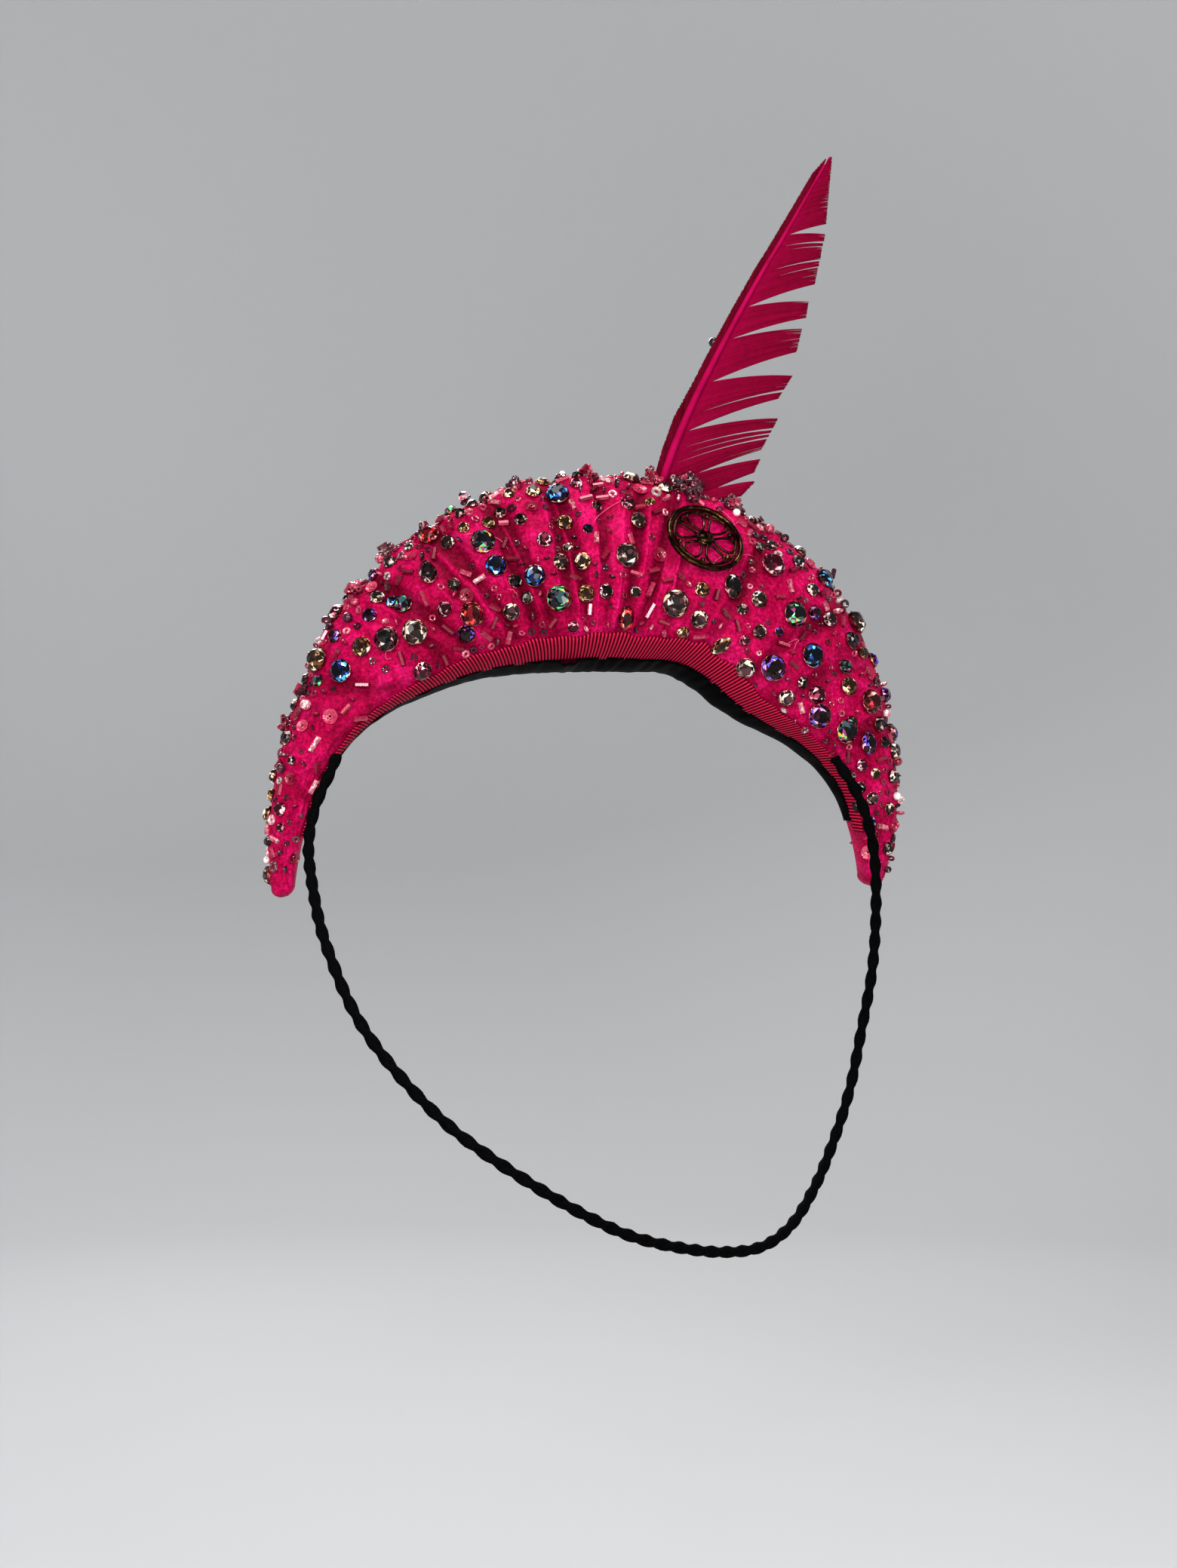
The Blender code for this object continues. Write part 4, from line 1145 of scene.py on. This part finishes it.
dark_glass = bead_glass("smoked_bead_glass", DARK_GLASS)
sequin_film = bead_glass("rose_sequin_film", ROSE_FILM, metallic=0.2, roughness=0.2)


def placed(shape, seat):
    """A shape's points carried to a seat."""
    matrix = np.array(seat)
    return np.asarray(shape[0]) @ matrix[:3, :3].T + matrix[:3, 3], shape[1]


def rocaille(radius):
    """A small round bead with a hole along its third axis."""
    hole = 0.36
    return tube(ring_of(radius * (1 + hole) / 2, 12), radius * (1 - hole) / 2, 7, closed=True)


def turned(profile, sides):
    """Points and faces of a closed profile of (radius, height) turned round the third axis."""
    count = len(profile)
    points = [
        (radius * math.cos(2 * math.pi * side / sides), radius * math.sin(2 * math.pi * side / sides), height)
        for side in range(sides)
        for radius, height in profile
    ]
    faces = []
    for side in range(sides):
        for step in range(count):
            here, after = side * count, (side + 1) % sides * count
            faces.append((here + step, after + step, after + (step + 1) % count, here + (step + 1) % count))
    return points, faces


def bugle(length):
    """A hexagonal tube of glass along the third axis."""
    hole, radius = 0.36, 0.78
    return turned(((hole, -length / 2), (radius, -length / 2), (radius, length / 2), (hole, length / 2)), 6)


def round_bead(radius):
    """A faceted round bead with its hole along the third axis."""
    facets = [(math.cos(angle), math.sin(angle)) for angle in np.radians((-56, -20, 20, 56))]
    profile = ((0.22, -0.93), *facets, (0.22, 0.93))
    return turned([(radius * out, radius * up) for out, up in profile], 9)


def sequin(radius):
    """A thin cupped disc with a hole."""
    lower = ((0.4, 0.10), (0.66 * radius, 0.16), (radius, 0.62))
    upper = ((radius, 0.74), (0.62 * radius, 0.30), (0.4, 0.24))
    return turned(lower + upper, 14)


def crowded(place, radius, room):
    """Whether a bead of this radius comes nearer than this room to what is already there."""
    away = np.linalg.norm(taken[:, :3] - np.array(place), axis=1)
    return bool((away < taken[:, 3] + radius + room).any())


claim(badge_middle, BADGE_RADIUS + 0.3)
bead_parts = {"bugle": [], "rocaille": [], "dark": [], "sequin": []}
UPRIGHT = Matrix.Rotation(math.pi / 2, 4, "X")


def sew(kind, place, outward, spin, shade, size):
    """One bead of this kind, bedded on the cover."""
    if kind == "bugle":
        seat = seat_on(place, outward, 0.45 * size, spin, sunk=0.15)
        shape = bugle(size)
        seat = seat @ Matrix.Translation((0, 0, 0.7)) @ UPRIGHT
        bead_parts["bugle"].append((*placed(shape, seat), shade))
    elif kind == "sequin":
        seat = seat_on(place, outward, 0.8 * size, spin, sunk=0.05)
        bead_parts["sequin"].append((*placed(sequin(size), seat), shade))
        knot = seat @ Matrix.Translation((0, 0, 0.55))
        bead_parts["rocaille"].append((*placed(rocaille(0.85), knot), 0.2 + 0.6 * shade))
    elif kind == "round":
        seat = seat_on(place, outward, 0.5 * size, spin, sunk=0.15)
        seat = seat @ Matrix.Translation((0, 0, 0.85 * size)) @ UPRIGHT
        bead_parts["dark" if shade < 0.45 else "rocaille"].append((*placed(round_bead(size), seat), shade))
    else:
        seat = seat_on(place, outward, 0.6 * size, spin, sunk=0.12)
        if draw.uniform() < 0.6:
            seat = seat @ Matrix.Translation((0, 0, 0.85 * size)) @ UPRIGHT
        else:
            seat = seat @ Matrix.Translation((0, 0, 0.3 * size))
        bead_parts["dark" if kind == "dark" else "rocaille"].append((*placed(rocaille(size), seat), shade))


def bareness(turn, share):
    """The share of beads left off here: most of them low on the left limb, none on the ridge."""
    limb = np.clip((turn - 46.0) / 14.0, 0.0, 1.0) * np.clip((4.4 - share) / 1.4, 0.0, 1.0)
    return 0.93 * limb


def way_out(turn, share):
    """The way out of the pad at this turn and share."""
    return (Vector(pad_surface(turn, share, 1.0)) - Vector(pad_surface(turn, share))).normalized()


def cover_at(turn, share, outward):
    """The cover's place and facing there, looked for from 6 mm outside."""
    return on_cover(Vector(pad_surface(turn, share)) + 6.0 * outward, -outward)


# The colours of the stones sewn at random, and the share of each.
CHATONS = {
    "crystal": 0.24,
    "gold": 0.18,
    "smoke": 0.18,
    "rose": 0.16,
    "plum": 0.12,
    "rainbow": 0.08,
    "navy": 0.04,
}


def scatter(kind, count, radius, room, sizes, shades, shares):
    """Beads or set stones (chatons) sewn at random, clear of what is already there."""
    sewn = 0
    for _ in range(40 * count):
        if sewn == count:
            break
        turn, share = draw.uniform(-106.0, 106.0), draw.uniform(*shares)
        size, shade, spin = draw.uniform(*sizes), draw.uniform(*shades), draw.uniform(0.0, 2 * math.pi)
        if draw.uniform() < bareness(turn, share):
            continue
        place, outward = cover_at(turn, share, way_out(turn, share))
        if crowded(place, radius * size, room):
            continue
        claim(place, radius * size)
        if kind == "chaton":
            colour = list(CHATONS)[int(draw.choice(len(CHATONS), p=list(CHATONS.values())))]
            set_stone(seat_on(place, outward, size / 2, spin), size, colour)
        else:
            sew(kind, place, outward, spin, shade, size)
        sewn += 1


# Larger stones of the front and the ridge, then the small ones, the back more open than the rest.
BACK = (1.35, 5.0)
ROUND_FRONT = (5.0, 9.75)
scatter("chaton", 44, 0.5, 2.2, (4.6, 6.8), (0.0, 1.0), (6.0, 9.5))
scatter("chaton", 62, 0.5, 1.2, (2.9, 4.4), (0.0, 1.0), (5.2, 9.6))
scatter("chaton", 14, 0.5, 1.5, (2.6, 3.6), (0.0, 1.0), BACK)
scatter("sequin", 8, 1.0, 0.6, (1.6, 2.2), (0.0, 0.7), BACK)
scatter("sequin", 26, 1.0, 0.6, (1.6, 2.3), (0.0, 0.7), ROUND_FRONT)
scatter("round", 64, 1.0, 0.4, (1.0, 1.7), (0.1, 0.9), (4.8, 9.6))
RIDGE = (4.7, 7.2)
scatter("chaton", 26, 0.5, 0.6, (3.4, 5.4), (0.0, 1.0), RIDGE)
scatter("dark", 60, 1.0, 0.1, (1.1, 1.7), (0.0, 0.8), RIDGE)
scatter("rocaille", 70, 1.0, 0.1, (1.1, 1.7), (0.0, 0.75), RIDGE)
scatter("bugle", 60, 0.42, 0.2, (2.6, 4.0), (0.05, 0.7), RIDGE)
scatter("bugle", 46, 0.42, 0.8, (3.0, 4.8), (0.05, 0.70), BACK)
scatter("bugle", 120, 0.42, 0.4, (3.0, 5.0), (0.05, 0.70), ROUND_FRONT)
scatter("rocaille", 70, 1.0, 0.5, (0.85, 1.25), (0.0, 0.65), BACK)
scatter("rocaille", 230, 1.0, 0.25, (0.85, 1.30), (0.0, 0.65), ROUND_FRONT)
scatter("dark", 50, 1.0, 0.5, (0.8, 1.2), (0.0, 0.6), BACK)
scatter("dark", 120, 1.0, 0.2, (0.8, 1.2), (0.0, 0.6), ROUND_FRONT)

# The row of rocailles along the ribbon's upper edge.
for turn in np.arange(-88.0, 58.0, 3.3):
    turn += draw.uniform(-1.0, 1.0)
    share = 1.24 + draw.uniform(-0.05, 0.16)
    place, outward = cover_at(turn, share, way_out(turn, share))
    size = draw.uniform(0.9, 1.35)
    if not crowded(place, size, 0.05):
        claim(place, size)
        kind = "dark" if draw.uniform() < 0.5 else "rocaille"
        sew(kind, place, outward, draw.uniform(0, 6.3), draw.uniform(0.0, 0.8), size)

# The heaps of beads at the feather's foot and beside it, then the small clusters that stand up along
# the ridge: pixels in the chart, spread in mm, height and number.
HEAPS = (
    (917, 645, 5.4, 6.6, 104, "dark"),
    (866, 624, 3.0, 4.4, 26, "rocaille"),
    (975, 652, 3.8, 3.6, 30, "dark"),
    (776, 626, 2.6, 3.2, 9, "rocaille"),
    (738, 630, 2.2, 2.8, 7, "dark"),
    (680, 640, 2.4, 3.8, 9, "dark"),
    (614, 658, 2.2, 3.6, 8, "dark"),
    (556, 693, 2.4, 3.4, 9, "dark"),
    (512, 733, 2.8, 3.8, 11, "dark"),
    (472, 783, 2.8, 3.6, 11, "rocaille"),
    (436, 826, 2.4, 3.0, 9, "dark"),
    (388, 912, 2.4, 2.8, 8, "dark"),
    (378, 960, 2.2, 2.6, 7, "rocaille"),
    (1012, 690, 2.2, 2.8, 7, "dark"),
    (1100, 765, 2.2, 2.8, 7, "dark"),
)
for across, down, spread, height, count, kind in HEAPS:
    middle, outward = on_cover(*chart_ray(across, down))
    aside = outward.orthogonal().normalized()
    other = outward.cross(aside)
    for _ in range(count):
        turn, out = draw.uniform(0, 2 * math.pi), spread * math.sqrt(draw.uniform())
        lift = draw.uniform(0.3, 1.0) * height * (1.0 - (out / spread) ** 2)
        place = middle + out * (math.cos(turn) * aside + math.sin(turn) * other) + lift * outward
        axis = Vector(draw.normal(size=3)).normalized()
        seat = axis.to_track_quat("Z", "Y").to_matrix().to_4x4()
        seat.translation = place
        bead = rocaille(draw.uniform(0.9, 1.3)) if draw.uniform() < 0.7 else bugle(draw.uniform(2.2, 3.6))
        glass_kind = kind if draw.uniform() < 0.8 else "rocaille"
        bead_parts[glass_kind].append((*placed(bead, seat), draw.uniform(0.0, 0.72)))

BEAD_PIECES = (
    ("bugle", "bugle_beads", bugle_glass, "crystal", False),
    ("rocaille", "pink_rocailles", rocaille_glass, "rose", True),
    ("dark", "smoked_rocailles", dark_glass, "smoke", True),
    ("sequin", "rose_sequins", sequin_film, "rose", True),
)
for kind, name, glass, slot, smooth in BEAD_PIECES:
    beads = joined(name, bead_parts[kind], glass, smooth)
    if smooth:
        beads.data.set_sharp_from_angle(angle=math.radians(50))
    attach(beads, "root")
for colour, glass in GLASS.items():
    if small_parts[colour]:
        stones = joined(f"{colour}_rhinestones", small_parts[colour], glass, smooth=False)
        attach(stones, "root")
rose_gilt, cup_shader = finish("rose_gilt_cups", {"Metallic": 1.0, "Roughness": 0.22})
ROSE_GILT = ((0.35, (0.06, 0.012, 0.014)), (0.52, (0.26, 0.07, 0.06)), (0.70, (0.80, 0.42, 0.30)))
noise_mottled_colours(rose_gilt, cup_shader, 650.0, ROSE_GILT, Detail=3.0)
stone_cups = joined("gilt_stone_cups", cups, rose_gilt, smooth=False)
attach(stone_cups, "root")

# The loose thread ends
# Light pink sewing thread, left curling between the beads where a stone was tied off.
THREAD_RADIUS = 0.11
THREAD_COUNT = 22
thread_dye, thread_shader = finish("pink_thread", {"Roughness": 0.6, "Specular IOR Level": 0.1})
noise_mottled_colours(thread_dye, thread_shader, 2200.0, ((0.3, (0.50, 0.02, 0.09)), (0.7, (0.72, 0.10, 0.22))))
threads = []
for _ in range(THREAD_COUNT):
    turn, share = draw.uniform(-70.0, 70.0), draw.uniform(1.6, 8.0)
    heading = draw.uniform(-0.8, 0.8)
    curl = draw.uniform(-0.5, 0.5)
    length = draw.uniform(5.0, 12.0)
    path = []
    for step in range(9):
        t = step / 8
        turn_on = turn + math.degrees(length * t * math.sin(heading + curl * 3 * t) / 75.0)
        share_on = share + length * t * math.cos(heading) / 14.0
        place, outward = cover_at(turn_on, share_on, way_out(turn, share))
        path.append(place + (THREAD_RADIUS + 0.5 * math.sin(math.pi * t) * draw.uniform(0.5, 1.3)) * outward)
    path, _ = smooth_path([tuple(point) for point in path], 26)
    threads.append(tube(path, THREAD_RADIUS, 6))
thread_ends = joined("pink_thread_ends", threads, thread_dye)
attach(thread_ends, "root")


# The feather
# One dyed goose feather with its outer edge trimmed straight. The vane has split into eight strips
# of barbs; the quill is pushed through the cover in front of the badge.
FEATHER_FOOT = (-23.4, 95.6)
FEATHER_TIP = (-69.5, 182.9)
FEATHER_DEPTH = -8.5
QUILL_START = -10.0
# Along the feather and across it, in mm.
SHAFT = (
    (QUILL_START, 1.2),
    (0.0, -0.5),
    (15.0, -1.9),
    (30.0, -2.3),
    (45.0, -2.3),
    (61.0, -1.9),
    (70.0, -1.4),
    (86.0, -0.8),
    (97.0, -0.4),
)
LEADING = (
    (-8.0, -1.6),
    (-3.5, -2.6),
    (0.9, -3.5),
    (5.5, -4.1),
    (10.6, -4.8),
    (23.6, -4.6),
    (30.2, -4.7),
    (46.7, -4.5),
    (59.8, -4.1),
    (66.2, -3.6),
    (79.3, -2.9),
    (92.4, -2.3),
    (97.8, -0.9),
)
# The strips of the wide side, from the tip down. Their upper edge and then their lower one, each
# from its inner end to the trimmed edge, and the thin slits in them: where across the strip, and
# how wide at the edge.
STRIPS = (
    ((98.4, -0.4, 99.0, 0.4), (72.9, -0.1, 80.8, 8.0), ()),
    (
        (72.9, -0.1, 78.1, 9.1),
        (48.6, -0.9, 63.7, 13.3),
        ((0.16, 0.5), (0.24, 0.3), (0.52, 0.5), (0.65, 0.35)),
    ),
    ((48.6, -0.9, 58.4, 14.1), (37.9, -0.9, 53.9, 15.6), ((0.80, 0.15),)),
    ((37.9, -0.9, 50.6, 16.0), (24.4, 0.2, 43.8, 17.8), ((0.60, 0.2),)),
    ((24.4, 0.2, 37.2, 20.0), (8.3, 0.5, 29.3, 19.4), ((0.66, 0.6),)),
    ((8.3, 0.5, 24.2, 22.1), (-2.4, 8.6, 13.8, 22.0), ((0.34, 0.5), (0.50, 0.4), (0.62, 0.6))),
    ((-2.4, 8.6, 11.3, 23.1), (-4.5, 14.6, 6.9, 23.2), ()),
    ((-4.5, 14.6, 4.8, 24.7), (-5.8, 17.1, -0.9, 23.1), ()),
)
BARB_PITCH = 0.30
BARB_BOW = -0.04
BARB_STEPS = 9
PILE_DEPTH = 1.2  # how far a barb may sink into the cover
SHAFT_END = 96.0
SHAFT_STEPS = 90


def feather_places(along, across, lift):
    """Points in mm of places along and across the feather, lifted toward its back."""
    foot, tip = np.array(FEATHER_FOOT), np.array(FEATHER_TIP)
    axis = (tip - foot) / np.linalg.norm(tip - foot)
    flat = foot + np.multiply.outer(along, axis) + np.multiply.outer(across, (-axis[1], axis[0]))
    depth = (FEATHER_DEPTH + lift)[..., None]
    nearer = 1.0 - depth / VIEW_DISTANCE
    return (
        np.array(ARCH_CENTRE)
        + nearer * (flat[..., :1] * np.array(VIEW_LEFT) + flat[..., 1:] * np.array(VIEW_UP))
        + depth * np.array(VIEW_BACK)
    )


def barb(start, end, bow, width, side, lift):
    """One barb: a thin tapered blade from the shaft to its tip, tilted so that each one overlaps the
    next, as (points, faces)."""
    t = np.linspace(0.0, 1.0, BARB_STEPS)
    start, end = np.array(start), np.array(end)
    span = end - start
    length = np.linalg.norm(span)
    line = start + t[:, None] * span
    line[:, 0] -= bow * 4 * t * (1 - t) * length
    normal = np.array((span[1], -span[0])) / length * side
    half = width * (1.0 - 0.35 * t**6) / 2
    camber = -0.0022 * line[:, 1] ** 2
    lower, upper = line + half[:, None] * normal, line - half[:, None] * normal
    rows = [
        feather_places(lower[:, 0], lower[:, 1], camber + lift + 0.05),
        feather_places(line[:, 0], line[:, 1], camber + lift + 0.07),
        feather_places(upper[:, 0], upper[:, 1], camber + lift - 0.06),
        feather_places(line[:, 0], line[:, 1], camber + lift - 0.10),
    ]
    return np.stack(rows, axis=1).reshape(-1, 3), faces_over(BARB_STEPS, len(rows))


def out_of_pad(start, mouth):
    """Where a barb leaves the cover: it goes no deeper than its pile."""
    places = [start + step / 24 * (mouth - start) for step in range(24)]
    for place in places:
        point = Vector(feather_places(place[0], place[1], np.float64(0.0)))
        near, outward, _, _ = pad_tree.find_nearest(point)
        if (point - near).dot(outward) > -PILE_DEPTH:
            return place
    return places[-1]


shaft_rows = np.array(SHAFT)
barbs = []
feather_draw = np.random.default_rng(77)
for (root_top, across_top, mouth_top, out_top), (root_low, across_low, mouth_low, out_low), slits in STRIPS:
    span = abs(root_top - root_low) + 0.35 * abs(mouth_top - mouth_low)
    count = max(10, int(span / BARB_PITCH))
    for number in range(count):
        v = (number + 0.5) / count
        root = np.array((root_top + v * (root_low - root_top), across_top + v * (across_low - across_top)))
        mouth = np.array((mouth_top + v * (mouth_low - mouth_top), out_top + v * (out_low - out_top)))
        slope = (mouth[0] - root[0]) / (mouth[1] - root[1] + 0.2)
        shaft_across = np.interp(root[0], shaft_rows[:, 0], shaft_rows[:, 1])
        start = np.array((root[0] - slope * (root[1] - shaft_across), shaft_across))
        edge = np.hypot(*(np.array((mouth_top, out_top)) - (mouth_low, out_low)))
        width = 1.55 * max(edge, abs(root_top - root_low) * 0.7) / count
        for where, wide in slits:
            near = math.exp(-(((v - where) / 0.09) ** 2)) * math.copysign(1.0, v - where)
            mouth = mouth + np.array((-near * wide * 0.7, 0.0))
        start = out_of_pad(start, mouth)
        mouth = mouth + feather_draw.normal(0.0, 0.05, 2)
        shade = feather_draw.uniform(0.30, 0.50) + 0.34 * np.exp(-np.linspace(0.0, 5.0, BARB_STEPS))
        blade = barb(start, mouth, BARB_BOW, width, 1.0, feather_draw.normal(0.0, 0.02))
        barbs.append((*blade, np.repeat(shade, 4)))
leading = np.array(LEADING)
for at in np.arange(-14.0, 89.0, 0.42):
    start = np.array((at, np.interp(at, shaft_rows[:, 0], shaft_rows[:, 1])))
    reach = at + 8.5 + feather_draw.uniform(-0.5, 0.7)
    reach = min(reach, 97.0 + 0.01 * at)
    end = np.array((reach, np.interp(reach, leading[:, 0], leading[:, 1]) * 1.03))
    barbs.append((*barb(out_of_pad(start, end), end, 0.05, 0.62, -1.0, 0.0), feather_draw.uniform(0.0, 0.25)))
BARB_DYE = ((0.15, (0.045, 0.0001, 0.003)), (0.55, (0.125, 0.0003, 0.013)), (1.0, (0.25, 0.0006, 0.034)))
dyed_barbs, barb_shader = finish("dyed_feather_barbs", {"Roughness": 0.6, "Specular IOR Level": 0.02})
barb_grain = place_in(dyed_barbs, texture(dyed_barbs, "ShaderNodeTexNoise", Scale=700.0, Detail=3.0))
barb_tone = weighted(dyed_barbs, barb_grain.outputs["Fac"], 0.3, own_shade(dyed_barbs))
wire(dyed_barbs, ramp(dyed_barbs, barb_tone, BARB_DYE), barb_shader.inputs["Base Color"])
relief(dyed_barbs, barb_shader, barb_grain.outputs["Fac"], 0.00008)
vane = joined("feather_vane", barbs, dyed_barbs)
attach(vane, "root")
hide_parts("feather")

shaft_steps = np.linspace(QUILL_START, SHAFT_END, SHAFT_STEPS)
shaft_across = cubic(shaft_rows[:, 1:], shaft_rows[:, 0], shaft_steps)[..., 0]
shaft_line = feather_places(shaft_steps, shaft_across, np.full(SHAFT_STEPS, 0.15))
shaft_radii = 1.25 * (1.0 - 0.72 * (shaft_steps - QUILL_START) / (SHAFT_END - QUILL_START))
dyed_quill, quill_shader = finish(
    "dyed_feather_shaft",
    {"Roughness": 0.55, "Specular IOR Level": 0.04, "Specular Tint": (1.0, 0.4, 0.6, 1.0)},
)
SHAFT_DYE = ((0.3, (0.20, 0.0006, 0.028)), (0.7, (0.29, 0.0012, 0.046)))
noise_mottled_colours(dyed_quill, quill_shader, 160.0, SHAFT_DYE, Detail=2.0)
quill = joined("feather_shaft", [tube(shaft_line, shaft_radii, 10)], dyed_quill)
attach(quill, "root")

# The feather's bead
# A single smoked glass bead, glued to the feather's leading edge, a little way into it.
BEAD_GLUED = 0.15
BEAD_AROUND = 20
bead_low, bead_high = (Vector(corner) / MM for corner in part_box("feather_bead"))
bead_middle, bead_radius = (bead_low + bead_high) / 2, (bead_high - bead_low).x / 2
nearest = [tree_of(piece).find_nearest(bead_middle) for piece in (quill, vane)]
glued_to = min(nearest, key=lambda near: near[3])[0]
bead_middle = glued_to + (bead_middle - glued_to).normalized() * (bead_radius - BEAD_GLUED)
bead_rings = []
for lean in np.radians(range(-75, 76, 15)):
    ring = ring_of(math.cos(lean), BEAD_AROUND, math.sin(lean))
    bead_rings.append([tuple(bead_middle + bead_radius * Vector(place)) for place in ring])
bead = skin("feather_glass_bead", bead_rings, dark_glass)
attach(bead, "root")
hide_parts("feather_bead")
